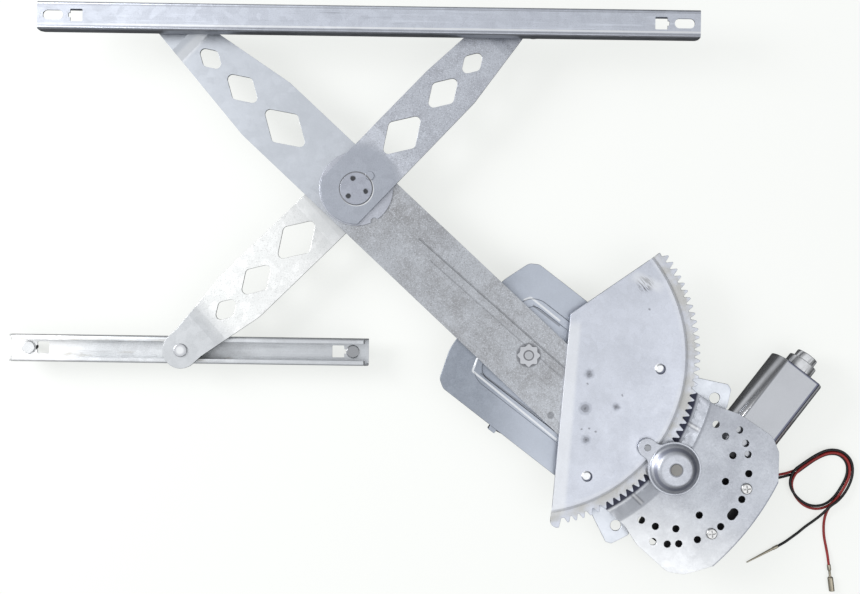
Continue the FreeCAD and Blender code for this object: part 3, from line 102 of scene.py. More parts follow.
class Wire:
    """A shader socket that takes part in sums, with one method that makes any other node."""

    def __init__(self, tree, socket):
        self.tree = tree
        self.socket = socket

    def make(self, kind, output=0, inputs=None, **settings):
        """Any other node in this wire's tree; inputs are by name or number."""
        node = self.tree.nodes.new(kind)
        for name, value in settings.items():
            setattr(node, name, value)
        for key, value in (inputs or {}).items():
            if isinstance(value, Wire):
                self.tree.links.new(value.socket, node.inputs[key])
            else:
                node.inputs[key].default_value = value
        return Wire(self.tree, node.outputs[output])

    def math(self, operation, *others):
        return self.make("ShaderNodeMath", 0, dict(enumerate((self,) + others)), operation=operation)

    def __add__(self, other):
        return self.math("ADD", other)

    __radd__ = __add__

    def __sub__(self, other):
        return self.math("SUBTRACT", other)

    def __mul__(self, other):
        return self.math("MULTIPLY", other)

    __rmul__ = __mul__

    def __abs__(self):
        return self.math("ABSOLUTE")

    def root(self):
        return self.math("SQRT")

    def step(self, low, high, start=0.0, end=1.0):
        """Smooth rise from start to end as this goes from low to high."""
        return self.make("ShaderNodeMapRange", 0,
                         {"Value": self, "From Min": low, "From Max": high, "To Min": start, "To Max": end},
                         interpolation_type="SMOOTHSTEP")

    def noise(self, scale, detail=3.0, roughness=0.55):
        return self.make("ShaderNodeTexNoise", 0,
                         {"Vector": self, "Scale": scale, "Detail": detail, "Roughness": roughness})

    def cells(self, scale):
        """A steady random number for each cell of a Voronoi pattern."""
        colour = self.make("ShaderNodeTexVoronoi", "Color", {"Vector": self, "Scale": scale})
        return colour.make("ShaderNodeSeparateColor", 0, {"Color": colour})

    def along(self, turn, stretch):
        """Coordinates turned about Z and drawn out along the new X."""
        return self.make("ShaderNodeMapping", 0,
                         {"Vector": self, "Rotation": (0.0, 0.0, turn), "Scale": (stretch, 1.0, 1.0)},
                         vector_type="TEXTURE")

    def shaken(self, scale, reach):
        """Coordinates pushed about by a noise, for ragged outlines."""
        cloud = self.make("ShaderNodeTexNoise", "Color", {"Vector": self, "Scale": scale, "Detail": 2.0})
        centred = cloud.make("ShaderNodeVectorMath", 0, {0: cloud, 1: (0.5, 0.5, 0.5)}, operation="SUBTRACT")
        push = centred.make("ShaderNodeVectorMath", 0, {0: centred, "Scale": reach * MM}, operation="SCALE")
        return self.make("ShaderNodeVectorMath", 0, {0: self, 1: push}, operation="ADD")

    def parts(self):
        """The three numbers of a vector."""
        node = self.tree.nodes.new("ShaderNodeSeparateXYZ")
        self.tree.links.new(self.socket, node.inputs[0])
        return [Wire(self.tree, out) for out in node.outputs]

    def from_point(self, place, turn=0.0):
        """Distances along and across a direction, in millimetres from a layout place."""
        px, py, _ = self.parts()
        centre = layout(*place)
        dx, dy = (px - centre.x) * (1.0 / MM), (py - centre.y) * (1.0 / MM)
        c, s = math.cos(turn), math.sin(turn)
        return dx * c + dy * s, dy * c - dx * s

    def blend(self, colour, other):
        """From one colour to another as this goes from 0 to 1."""
        return self.make("ShaderNodeMix", 2, {0: self, 6: colour, 7: other}, data_type="RGBA")

    def mixed(self, other, factor):
        """This colour, with another laid over it by a factor."""
        return factor.blend(self, other)


def blank(name):
    """New material with its shader, and the wire of its object coordinates."""
    material = bpy.data.materials.new(name)
    material.use_nodes = True
    tree = material.node_tree
    coords = tree.nodes.new("ShaderNodeTexCoord").outputs["Object"]
    return material, tree.nodes["Principled BSDF"], Wire(tree, coords)


def connect(wire, shader, key):
    wire.tree.links.new(wire.socket, shader.inputs[key])


def rgba(colour, factor=1.0):
    """Shader colour, made lighter or darker by a factor."""
    return (*[min(1.0, c * factor) for c in colour], 1.0)


def bumped(height, strength, distance, under=None):
    """Normal of a height pattern, on top of another normal where one is given."""
    inputs = {"Height": height, "Strength": strength, "Distance": distance}
    if under is not None:
        inputs["Normal"] = under
    return height.make("ShaderNodeBump", 0, inputs)


# Masks: one inside, falling to nothing outside; places and sizes in layout millimetres
def spot(place, radius, soft):
    """Round patch."""
    def mask(coords):
        along, across = coords.from_point(place)
        return (along * along + across * across).root().step(radius + soft, radius - soft)
    return mask


def ring(place, radius, half, soft):
    """Circle line; round the main pivot it is a band of the sector."""
    def mask(coords):
        along, across = coords.from_point(place)
        reach = (along * along + across * across).root()
        return abs(reach - radius).step(half + soft, half)
    return mask


def stroke(start, end, half, soft):
    """Straight line between two places."""
    length = math.dist(start, end)
    turn = math.atan2(end[1] - start[1], end[0] - start[0])

    def mask(coords):
        along, across = coords.from_point(start, turn)
        inside = abs(along - length / 2.0).step(length / 2.0 + soft, length / 2.0 - soft)
        return inside * abs(across).step(half + soft, half)
    return mask


def slope(place, turn, low, high):
    """Rise from nothing to one between two distances along a direction."""
    def mask(coords):
        along, _ = coords.from_point(place, turn)
        return along.step(low, high)
    return mask


def above(height):
    """Faces over a height from the main pivot's face."""
    def mask(coords):
        return coords.parts()[2].step(PIVOT.z + (height - 0.2) * MM, PIVOT.z + height * MM)
    return mask


def patchy(mask, scale, low, high, turn=0.0, stretch=1.0):
    """The mask broken up by a noise."""
    def broken(coords):
        return mask(coords) * coords.along(turn, stretch).noise(scale, 4.0, 0.6).step(low, high)
    return broken


def ragged(mask, scale=350.0, reach=3.0):
    """The mask with an uneven outline."""
    def uneven(coords):
        return mask(coords.shaken(scale, reach))
    return uneven


# Shades of dirt, wear, painted shadow and painted highlight that the finishes share
DARK = (0.09, 0.09, 0.10)
LIP_SHADOW = (0.05, 0.05, 0.05)
EDGE_LINE_SHADE = (0.05, 0.055, 0.10)
# painted shade of the steep edge faces
STEEP_FACE_SHADE = (0.07, 0.075, 0.10)
BRIGHT = (0.86, 0.87, 0.88)
CHROME = (0.97, 0.98, 1.0)
GREASE = (0.42, 0.40, 0.33)
RUST = (0.42, 0.38, 0.30)
WELD_HALO = (0.34, 0.36, 0.42)
BURN = (0.02, 0.02, 0.02)


def zinc(name, colour, dark, rough=0.40, grime=0.35, spangle=0.3, speck=0.35, streak=0.0, turn=0.0, metal=0.85,
         marks=(), relief=(), dull=(), rim=0.0):
    """Zinc plated sheet: mottled patina, spangle, specks, lengthwise rubbing, local marks and pressed shapes.

    Marks are masks with a shade and an amount, painted highlights and shadows among them, relief is masks with a
    height in millimetres, dull is masks with the share of metal they take away, and rim is how dark the steep
    edge faces are painted, a painted shade.
    """
    material, shader, coords = blank(name)
    cloud = coords.noise(*CLOUD).step(0.35, 0.68)
    grain = coords.noise(*GRAIN).step(0.32, 0.70)
    fine = coords.noise(*FINE)
    flake = coords.cells(SPANGLE)
    tint = (cloud * grime + grain * (grime * 0.4)).blend(rgba(colour), rgba(dark))
    tint = tint.mixed(rgba(colour, 1.15), flake.step(0.4, 1.0) * spangle)
    tint = tint.mixed(rgba(dark, 0.8), fine.step(0.56, 0.74) * speck)
    tint = tint.mixed(rgba(colour, 1.22), fine.step(0.46, 0.30) * speck)
    if streak > 0.0:
        drawn = coords.along(turn, DRAWN_STRETCH).noise(*DRAWN)
        tint = tint.mixed(rgba(colour, 1.25), drawn.step(0.54, 0.76) * streak)
        tint = tint.mixed(rgba(dark, 0.75), drawn.step(0.44, 0.26) * streak)
    for mask, shade, amount in marks:
        tint = tint.mixed(rgba(shade), mask(coords) * amount)
    # Painted shade: faces that stand steep, the sheet's edges, are darkened towards the edge shade by the rim
    # amount
    if rim > 0.0:
        facing = abs(coords.make("ShaderNodeNewGeometry", "Normal").parts()[2])
        tint = tint.mixed(rgba(STEEP_FACE_SHADE), facing.step(0.65, 0.25) * rim)
    connect(tint, shader, "Base Color")
    connect(flake * 0.08 + cloud * 0.10 + grain * 0.06 + (rough - 0.10), shader, "Roughness")
    shader.inputs["Metallic"].default_value = metal
    for mask, share in dull:
        connect(mask(coords) * -share + metal, shader, "Metallic")
    pressed = None
    for mask, height in relief:
        lift = mask(coords) * height
        pressed = lift if pressed is None else pressed + lift
    under = bumped(pressed, 1.0, MM) if relief else None
    connect(bumped(grain * 0.6 + fine * 0.4, 0.10, BUMP_DEPTH, under), shader, "Normal")
    return material


def plain(name, colour, rough, metal=0.0, bump=0.06, coat=0.0, marks=()):
    """Moulded, cast or turned surface with a little unevenness."""
    material, shader, coords = blank(name)
    cloud = coords.noise(*DULLNESS)
    fine = coords.noise(*TEXTURE)
    tint = (cloud.step(0.3, 0.75) * 0.5 + fine * 0.15).blend(rgba(colour), rgba(colour, 0.72))
    for mask, shade, amount in marks:
        tint = tint.mixed(rgba(shade), mask(coords) * amount)
    connect(tint, shader, "Base Color")
    connect(cloud * 0.15 + fine * 0.04 + (rough - 0.08), shader, "Roughness")
    shader.inputs["Metallic"].default_value = metal
    shader.inputs["Coat Weight"].default_value = coat
    connect(bumped(fine, bump, BUMP_DEPTH), shader, "Normal")
    return material


# Places on the part, in layout millimetres
MAIN_PIVOT = (0.0, 0.0)
HUB = (-156.7, 147.2)
# Centre of the painted highlight line at the hub's rivet seat, set a little to the lower right
HUB_HIGHLIGHT_CENTRE = (-156.2, 146.7)
CAP = (130.9, -99.2)
LOWER_STUD = (-313.5, 0.0)
DOOR_STUDS = ((-456.7, 0.0), (-159.2, 0.0))
TAB_HOLES = ((163.3, -35.6), (79.7, -152.5))
STAKES = ((-2.9, 8.9), (8.6, -2.5), (-6.8, -6.8))

# Base plate and bracket
RIB_LIGHT = (((-45.7, -3.3), (-49.9, -15.1)), ((-49.9, -15.1), (27.1, -76.3)), ((-4.5, 49.5), (1.8, 52.0)),
             ((1.8, 52.0), (28.3, 31.1)))
RIB_DARK = (((-42.6, -16.8), (27.9, -68.1)), ((3.7, 45.1), (28.4, 26.5)))
GUSSETS = (((144.0, -59.0), (153.0, -64.5)), ((95.5, -123.8), (103.2, -131.0)))
TOOTH_SHADE = 150.0
BRACKET_SLOPE = 164.0
BRACKET_EDGE = 249.7

# Lift arm: its direction, the two creases pressed along it, and the painted highlight on the bend at its rail
# end
ARM_TURN = math.radians(43.2)
CREASE = ((35.0, -13.0), (-100.0, 103.7))
FOLD = ((30.0, -19.0), (-90.0, 84.7))
ARM_BEND_HIGHLIGHT = ((-322.0, 256.0), (-295.0, 284.0))
ARM_PIT = (20.6, -53.6)

# Sector plate: raised buttons, welds and spatter, the smear, the painted highlight along its bent left edge and
# the bands of its rim, grease and a painted highlight on the ridge of its step
BUTTONS = ((53.2, -107.0), (117.1, -10.1))
WELDS = (((54.2, -15.9), 3.6), ((51.0, -46.6), 4.6), ((78.9, -44.8), 3.0), ((52.1, -74.7), 3.6))
SPATTER = ((52.5, -24.9), (48.2, -65.1), (60.7, -67.2), (54.6, -64.4), (83.8, -34.6), (107.2, 43.1))
SMEAR = (103.0, 65.5)
SMEAR_TURN = math.radians(-48.0)
SMEAR_WIPE = ((118.0, 62.0), (92.0, 73.0))
LEFT_EDGE_HIGHLIGHT = ((39.5, 30.0), (27.5, -140.0))
RIM_RIDGE_HIGHLIGHT = 139.5
RIM_STEP = 142.0
RIM_GREASE = 146.0

# Rails: the lengthwise lines of the glass rail, a painted highlight and painted shadows along its rolled lip, by
# height, half width, softness, shade and amount
RAIL_ENDS = (-440.0, 148.0)
RAIL_LINES = ((303.6, 0.3, 0.5, DARK, 0.30), (286.6, 0.5, 0.6, BRIGHT, 0.70), (284.6, 0.5, 0.6, DARK, 0.45),
              (282.4, 0.6, 0.8, LIP_SHADOW, 0.55))
RAIL_FADE = (-330.0, 0.0)
DOOR_RAIL = ((-470.0, 0.0), (-150.0, 0.0))
DOOR_RAIL_GLARE = (-385.0, 0.0)

# Motor can: the height of its flat, its chromed end and the painted shade along the edges of the flat
CAN_FLAT = 2.6
CAN_END = (256.0, 0.0)
CAN_EDGES = (((205.4, -95.1), (260.6, -22.2)), ((233.3, -1.5), (260.6, -22.2)))


def base_marks():
    """Bright tabs, a lighter upper side, and the light and shadow of the pressed ribs."""
    marks = [(spot(place, 22.0, 4.0), BRIGHT, 0.85) for place in TAB_HOLES]
    marks.append((slope((-52.0, -27.0), 0.0, 5.0, 60.0), (0.60, 0.64, 0.72), 0.60))
    marks += [(stroke(start, end, 0.6, 0.6), BRIGHT, 0.7) for start, end in RIB_LIGHT]
    marks += [(stroke(start, end, 0.5, 0.6), DARK, 0.5) for start, end in RIB_DARK]
    return marks


def bracket_marks():
    """A lighter lower side, painted shade on the slope, painted shadow and highlight along its gussets, the
    painted shadow under the teeth, and painted shade along the outer edge.
    """
    marks = [(slope((130.0, -90.0), math.radians(-110.0), 15.0, 100.0), BRIGHT, 0.75),
             (ring(MAIN_PIVOT, BRACKET_SLOPE, 4.0, 2.0), (0.22, 0.235, 0.27), 0.65)]
    marks += [(stroke(start, end, 2.0, 1.2), DARK, 0.45) for start, end in GUSSETS]
    marks += [(stroke(start, end, 0.4, 1.2), BRIGHT, 0.30) for start, end in GUSSETS]
    marks.append((ring(MAIN_PIVOT, TOOTH_SHADE, 5.5, 2.5), (0.012, 0.014, 0.035), 0.94))
    marks.append((ring(MAIN_PIVOT, BRACKET_EDGE, 0.4, 0.8), EDGE_LINE_SHADE, 0.50))
    return marks


def lift_arm_marks():
    """A paler rail end, painted shadow round the main pivot, a painted highlight on the bend at the rail end,
    and painted shade in the creases along the arm.
    """
    return [
        (slope(MAIN_PIVOT, math.pi - ARM_TURN, 195.0, 260.0), (0.555, 0.585, 0.635), 0.9),
        (spot(MAIN_PIVOT, 11.0, 1.0), DARK, 0.60),
        (stroke(*ARM_BEND_HIGHLIGHT, 2.5, 3.5), BRIGHT, 0.35),
        (stroke(*CREASE, 0.4, 0.5), DARK, 0.35),
        (stroke(*FOLD, 0.3, 0.6), DARK, 0.18),
        (spot(ARM_PIT, 3.2, 0.5), DARK, 0.5),
    ]


def upper_arm_marks():
    """A duller pad round the hub, with a painted highlight line and a painted shadow line at the edge of the
    rivet's seat.
    """
    return [
        (spot(HUB, 40.0, 5.0), (0.36, 0.385, 0.44), 0.75),
        (ring(HUB_HIGHLIGHT_CENTRE, 14.9, 0.3, 0.4), BRIGHT, 0.8),
        (ring(HUB, 14.6, 0.5, 0.4), DARK, 0.8),
    ]


def lower_arm_marks():
    """Shade under the hub, and the duller end pad."""
    return [
        (spot(HUB, 60.0, 28.0), (0.55, 0.56, 0.57), 0.85),
        (slope(LOWER_STUD, math.pi + ARM_TURN, -52.0, -28.0), (0.45, 0.47, 0.50), 0.70),
    ]


def glass_rail_marks():
    """Painted highlight and shadow lines along the rolled section, and the duller left end."""
    left, right = RAIL_ENDS
    marks = [(stroke((left, height), (right, height), half, soft), shade, amount)
             for height, half, soft, shade, amount in RAIL_LINES]
    marks.append((slope(RAIL_FADE, math.pi, 0.0, 110.0), (0.40, 0.42, 0.47), 0.6))
    return marks


def door_rail_marks():
    """Glare on the left end, rust in patches, and the duller right end."""
    return [
        (slope(DOOR_RAIL_GLARE, math.pi, 0.0, 50.0), (0.92, 0.92, 0.92), 0.75),
        (patchy(stroke(*DOOR_RAIL, 9.0, 2.0), 90.0, 0.58, 0.70, 0.0, 4.0), RUST, 0.55),
        (slope(RAIL_FADE, 0.0, 0.0, 120.0), (0.50, 0.52, 0.55), 0.5),
    ]


def sector_marks():
    """Weld rings, spatter, a scraped smear and the greasy rim of the sector plate, with painted light: shadow
    and highlight on the raised buttons, a highlight on the ridge of the rim and one along the bent left edge.
    """
    marks = []
    for place, radius in WELDS:
        marks.append((ragged(spot(place, radius * 1.3, 1.0)), WELD_HALO, 0.45))
        marks.append((ragged(spot(place, radius * 0.8, 0.8)), DARK, 0.45))
        marks.append((ragged(spot(place, radius * 0.25, 0.8)), BURN, 0.5))
    for place in SPATTER:
        marks.append((ragged(spot(place, 0.9, 0.5)), DARK, 0.6))
    # Painted shadow and painted highlight on each raised button
    for x, y in BUTTONS:
        marks.append((spot((x + 0.9, y - 0.7), 4.3, 0.4), (0.10, 0.11, 0.16), 0.85))
        marks.append((spot((x - 0.7, y + 0.6), 3.7, 0.5), BRIGHT, 0.95))
    marks.append((patchy(spot(SMEAR, 6.5, 3.5), 900.0, 0.46, 0.58, SMEAR_TURN, 9.0), DARK, 0.85))
    marks.append((stroke(*SMEAR_WIPE, 2.0, 5.0), BRIGHT, 0.35))
    marks.append((patchy(ring(MAIN_PIVOT, RIM_GREASE, 3.0, 4.0), 60.0, 0.30, 0.60), GREASE, 0.55))
    # Painted highlight on the ridge of the rim's step, broken up in patches
    marks.append((patchy(ring(MAIN_PIVOT, RIM_RIDGE_HIGHLIGHT, 1.5, 2.5), 40.0, 0.35, 0.65), BRIGHT, 0.2))
    # Painted highlight along the bent left edge
    marks.append((stroke(*LEFT_EDGE_HIGHLIGHT, 4.0, 5.0), BRIGHT, 0.45))
    return marks


def hub_marks():
    """The burnt stakes of the cross's rivet."""
    return [(ragged(spot((HUB[0] + x, HUB[1] + y), 2.3, 0.6), 350.0, 1.6), (0.03, 0.03, 0.03), 0.9)
            for x, y in STAKES]


def cap_marks():
    """The shadow round the cap's body and the line round its middle."""
    return [
        (ring(CAP, 17.8, 0.8, 1.4), (0.12, 0.13, 0.20), 0.6),
        (ring(CAP, 5.8, 0.3, 0.5), DARK, 0.6),
    ]


def pivot_marks():
    """The line and dimple of the main pivot, and the painted highlight on the head of the lower stud."""
    return [
        (ring(MAIN_PIVOT, 4.2, 0.4, 0.5), DARK, 0.75),
        (spot(MAIN_PIVOT, 3.2, 0.4), (0.40, 0.41, 0.43), 0.5),
        (spot(LOWER_STUD, 3.6, 1.2), BRIGHT, 0.95),
    ]


def screw_marks():
    """One bright and one dull stud head in the door rail."""
    left, right = DOOR_STUDS
    return [
        (spot(left, 8.0, 1.0), BRIGHT, 0.9),
        (spot(right, 8.0, 1.0), (0.33, 0.34, 0.36), 0.8),
    ]


def can_marks():
    """The label's grey flat with painted shade along its edges, and the bright end of the motor."""
    marks = [(above(CAN_FLAT), (0.31, 0.32, 0.34), 0.95), (spot(CAN_END, 14.0, 2.0), CHROME, 0.95)]
    marks += [(stroke(start, end, 0.7, 1.0), EDGE_LINE_SHADE, 0.80) for start, end in CAN_EDGES]
    return marks


def galvanised(colours):
    return zinc("galvanised_steel", colours.base, (0.24, 0.265, 0.31), grime=0.5, rim=0.7, marks=base_marks())


def bracket(colours):
    return zinc("bracket_steel", colours.bracket, (0.30, 0.31, 0.35), grime=0.45, rim=0.7, marks=bracket_marks(),
                dull=((ring(MAIN_PIVOT, BRACKET_SLOPE, 4.0, 2.5), 0.6),))


def lift_arm(colours):
    return zinc("lift_arm_steel", colours.lift_arm, (0.30, 0.30, 0.31), grime=0.65, speck=0.85, streak=0.40,
                turn=-ARM_TURN, rim=0.6, marks=lift_arm_marks(),
                relief=((stroke(*CREASE, 0.4, 0.5), -0.25), (stroke(*FOLD, 0.3, 0.6), -0.15)))


def upper_arm(colours):
    return zinc("upper_arm_steel", colours.upper_arm, (0.34, 0.35, 0.39), grime=0.5, speck=0.9, rim=0.6,
                marks=upper_arm_marks())


def lower_arm(colours):
    return zinc("lower_arm_steel", colours.lower_arm, (0.62, 0.62, 0.62), grime=0.25, speck=0.6, rim=0.6,
                marks=lower_arm_marks())


def glass_rail(colours):
    return zinc("rail_steel", colours.glass_rail, (0.40, 0.42, 0.48), grime=0.30, streak=0.75,
                marks=glass_rail_marks())


def door_rail(colours):
    return zinc("lower_rail_steel", colours.door_rail, (0.45, 0.46, 0.48), grime=0.35, streak=0.8,
                marks=door_rail_marks())


def sector(colours):
    return zinc("gear_steel", colours.sector, (0.44, 0.46, 0.51), grime=0.30, speck=0.2, marks=sector_marks(),
                dull=((ring(MAIN_PIVOT, RIM_STEP, 3.0, 2.5), 0.85),))


def washers(colours):
    return zinc("hub_steel", (0.52, 0.54, 0.60), (0.36, 0.37, 0.42), grime=0.4)


def hub(colours):
    return zinc("hub_head_steel", (0.42, 0.44, 0.50), (0.30, 0.31, 0.36), grime=0.4, marks=hub_marks())


def cap(colours):
    return zinc("cap_steel", (0.50, 0.52, 0.57), (0.34, 0.35, 0.39), grime=0.35, rough=0.40, marks=cap_marks())


def pivot(colours):
    return plain("pivot_steel", (0.62, 0.63, 0.66), 0.30, metal=0.95, marks=pivot_marks())


def pinion(colours):
    return plain("pinion_steel", (0.255, 0.25, 0.24), 0.45, metal=0.8)


def button(colours):
    return plain("button_steel", (0.30, 0.31, 0.33), 0.35, metal=0.8)


def screws(colours):
    return plain("screw_steel", (0.60, 0.60, 0.60), 0.25, metal=1.0, marks=screw_marks())


def can(colours):
    return plain("can_steel", colours.can, 0.20, metal=0.95, bump=0.03, marks=can_marks())


def red_lead(colours):
    return plain("red_insulation", colours.red_lead, 0.45, coat=0.05, bump=0.03)


def black_lead(colours):
    return plain("black_insulation", colours.black_lead, 0.55, bump=0.03)


# The finishes above, by material slot, or by node where a piece has its own
WORKED = {
    "galvanised_steel": galvanised, "motor_bracket": bracket, "lift_arm": lift_arm,
    "equalizer_upper_arm": upper_arm, "equalizer_lower_arm": lower_arm, "rail_steel": glass_rail,
    "lower_rail": door_rail, "gear_steel": sector, "pinion": pinion, "hub_steel": washers, "cross_hub": hub,
    "cap_steel": cap, "cap_guide_button": button, "pivot_steel": pivot, "screw_steel": screws,
    "can_steel": can, "red_insulation": red_lead, "black_insulation": black_lead,
}

# Plain finishes by material slot: colour, roughness, and what else differs from a dull moulding
PLAIN = {
    "housing_plastic": ((0.018, 0.018, 0.02), 0.45, {"bump": 0.15}),
    "cover_alloy": ((0.46, 0.47, 0.49), 0.5, {"metal": 0.6, "bump": 0.2}),
    "terminal_tin": ((0.42, 0.38, 0.30), 0.35, {"metal": 0.9}),
    "nylon": ((0.80, 0.79, 0.72), 0.45, {}),
    "spring_steel": ((0.10, 0.10, 0.11), 0.4, {"metal": 0.7}),
    "magnet": ((0.06, 0.06, 0.06), 0.6, {}),
    "core_steel": ((0.20, 0.19, 0.18), 0.5, {"metal": 0.6}),
    "copper": ((0.60, 0.28, 0.14), 0.35, {"metal": 0.9}),
    "carbon": ((0.03, 0.03, 0.03), 0.7, {}),
    "holder_plastic": ((0.03, 0.03, 0.035), 0.5, {}),
    "rubber": ((0.02, 0.02, 0.02), 0.8, {}),
    "wheel_plastic": ((0.75, 0.74, 0.67), 0.4, {}),
    "bronze": ((0.42, 0.28, 0.14), 0.45, {"metal": 0.8}),
}
made = {}


def finish_of(name, colours):
    """The finish of a node: its own where it has one, or its slot's, made when it is first asked for."""
    key = name if name in WORKED else SLOTS[name]
    if key not in made:
        if key in WORKED:
            made[key] = WORKED[key](colours)
        else:
            colour, rough, rest = PLAIN[key]
            made[key] = plain(key, colour, rough, **rest)
    return made[key]


def dress(names, context):
    """The named frame nodes take their finish and a small edge radius."""
    for name in names:
        node = NODES[name]
        node.data.materials.clear()
        node.data.materials.append(finish_of(name, context.scene.regulator_finish))
        weld = node.modifiers.new("Weld", "WELD")
        weld.merge_threshold = WELD_GAP
        flat = node.modifiers.new("Whole faces", "DECIMATE")
        flat.decimate_type = "DISSOLVE"
        flat.angle_limit = FLAT_ANGLE
        bevel = node.modifiers.new("Edge radius", "BEVEL")
        bevel.width = SHEET_EDGE if name in SHEETS else SMALL_EDGE
        bevel.segments = EDGE_SEGMENTS
        bevel.limit_method = "ANGLE"
        bevel.angle_limit = EDGE_ANGLE
        bevel.harden_normals = True
    return {"FINISHED"}


# Leads: their lengths, and the points their middles pass through, in metres from the main pivot
RED_LENGTH = 0.365
BLACK_LENGTH = 0.374
RED_ROUTE = (
    (0.22035, -0.10321, -0.0275), (0.22633, -0.10773, -0.0275), (0.234, -0.11, -0.0295),
    (0.24, -0.1095, -0.0316), (0.247, -0.1084, -0.0339), (0.2555, -0.1056, -0.0348),
    (0.2638, -0.0986, -0.0348), (0.273, -0.092, -0.0348), (0.2845, -0.087, -0.0348),
    (0.2965, -0.088, -0.0348), (0.305, -0.0965, -0.0348), (0.306, -0.109, -0.0348),
    (0.3005, -0.122, -0.0348), (0.293, -0.1325, -0.0348), (0.2845, -0.14, -0.0348),
    (0.2735, -0.1425, -0.0348), (0.2625, -0.139, -0.0348), (0.254, -0.13, -0.0346),
    (0.25, -0.1185, -0.0336), (0.2535, -0.108, -0.0316), (0.2625, -0.101, -0.0323),
    (0.274, -0.0935, -0.0323), (0.285, -0.0885, -0.0323), (0.296, -0.0895, -0.0323),
    (0.3035, -0.097, -0.0323), (0.305, -0.109, -0.0323), (0.2995, -0.121, -0.0323),
    (0.2925, -0.132, -0.032), (0.285, -0.1395, -0.0314), (0.282, -0.1475, -0.0328),
    (0.2815, -0.157, -0.0348), (0.282, -0.167, -0.0348), (0.284, -0.1765, -0.0348),
    (0.285, -0.1825, -0.0341), (0.2857, -0.188, -0.0335), (0.2864, -0.1933, -0.0335),
)
BLACK_ROUTE = (
    (0.21842, -0.10576, -0.0275), (0.2244, -0.11028, -0.0275), (0.234, -0.1129, -0.0295),
    (0.24, -0.1123, -0.0316), (0.248, -0.1106, -0.0339), (0.255, -0.1092, -0.0348),
    (0.2638, -0.1023, -0.0348), (0.2745, -0.0947, -0.0348), (0.285, -0.09, -0.0348),
    (0.2953, -0.0906, -0.0348), (0.3027, -0.0978, -0.0348), (0.3034, -0.109, -0.0348),
    (0.298, -0.1205, -0.0348), (0.291, -0.131, -0.0348), (0.283, -0.1375, -0.0348),
    (0.2735, -0.1395, -0.0342), (0.2635, -0.137, -0.0321), (0.254, -0.13, -0.0314),
    (0.2475, -0.119, -0.0316), (0.251, -0.106, -0.0316), (0.261, -0.099, -0.0323),
    (0.2725, -0.091, -0.0323), (0.2845, -0.0855, -0.0323), (0.2975, -0.087, -0.0323),
    (0.3065, -0.096, -0.0323), (0.3075, -0.1095, -0.0323), (0.3018, -0.1225, -0.0308),
    (0.2933, -0.1325, -0.0289), (0.285, -0.1375, -0.0278), (0.279, -0.1455, -0.0308),
    (0.2725, -0.1525, -0.034), (0.2645, -0.1585, -0.0348), (0.2575, -0.1646, -0.0348),
    (0.2512, -0.1692, -0.0348), (0.2451, -0.1737, -0.0345), (0.239, -0.177, -0.0345),
)


def lead(name, route, length, diameter):
    """Flexible lead along its route, in place of the frame's tube."""
    curve = bpy.data.curves.new(name + "_line", "CURVE")
    curve.dimensions = "3D"
    curve.bevel_depth = diameter / 2.0
    curve.bevel_resolution = 6
    curve.resolution_u = 10
    curve.use_fill_caps = True
    spline = curve.splines.new("NURBS")
    spline.points.add(len(route) - 1)
    for point, place in zip(spline.points, route):
        point.co = (*(PIVOT + Vector(place)), 1.0)
    spline.order_u = 3
    spline.use_endpoint_u = True
    cord = bpy.data.objects.new(name + "_lead", curve)
    bpy.context.scene.collection.objects.link(cord)
    curve.materials.append(NODES[name].data.materials[0])
    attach(cord, "base")
    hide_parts(name)


# Studio: the floor's size and drop, its shade and glow, the lamps by place, size and setting, and the camera
FLOOR_SIZE = 12.0
FLOOR_DROP = 0.0002
FLOOR_SHADE = (0.25, 0.25, 0.25, 1.0)
FLOOR_GLOW = (0.98, 1.0, 0.97, 1.0)
SKY_TINT = (0.97, 0.985, 1.0, 1.0)
LAMPS = (("key", (-1.6, 0.5, 1.0), 0.8), ("fill", (0.9, -0.6, 1.5), 1.4))
CAMERA_PLACE = (-89.2, 51.1, 900.0)
CAMERA_ROLL = math.radians(0.8)
CAMERA_LENS = 41.86


def build_floor(settings):
    """Pale floor that stays out of the metal's reflections, so that its steep faces read dark."""
    bpy.ops.mesh.primitive_plane_add(size=FLOOR_SIZE)
    floor = bpy.context.object
    floor.name = "floor"
    floor.location.z = -FLOOR_DROP
    floor.visible_glossy = False
    material = bpy.data.materials.new("pale_floor")
    material.use_nodes = True
    shader = material.node_tree.nodes["Principled BSDF"]
    shader.inputs["Base Color"].default_value = FLOOR_SHADE
    shader.inputs["Roughness"].default_value = 0.9
    shader.inputs["Emission Color"].default_value = FLOOR_GLOW
    shader.inputs["Emission Strength"].default_value = settings.floor
    floor.data.materials.append(material)


def build_sky(settings):
    """Soft light from overhead that falls off to the horizon and leans to one side, with a band under it."""
    scene = bpy.context.scene
    scene.world = scene.world or bpy.data.worlds.new("Studio")
    scene.world.use_nodes = True
    tree = scene.world.node_tree
    background = tree.nodes["Background"]
    px, py, pz = Wire(tree, tree.nodes.new("ShaderNodeTexCoord").outputs["Generated"]).parts()
    lean = px * -0.40 + py * -0.10 + 1.0
    band = abs(pz + 0.35).step(0.30, 0.05, 0.0, 0.6)
    glow = (pz.step(-0.05, 0.95, settings.horizon, 1.0) + band) * lean * settings.sky
    background.inputs[0].default_value = SKY_TINT
    tree.links.new(glow.socket, background.inputs[1])


def build_lamps(settings):
    """A key lamp from the left and a weak fill from the right, both aimed at the main pivot."""
    for name, place, size in LAMPS:
        data = bpy.data.lights.new(name, "AREA")
        data.size = size
        data.energy = getattr(settings, name)
        lamp = bpy.data.objects.new(name, data)
        lamp.location = PIVOT + Vector(place)
        lamp.rotation_euler = (PIVOT - lamp.location).to_track_quat("-Z", "Y").to_euler()
        bpy.context.scene.collection.objects.link(lamp)
    bpy.context.scene.view_settings.view_transform = "Standard"


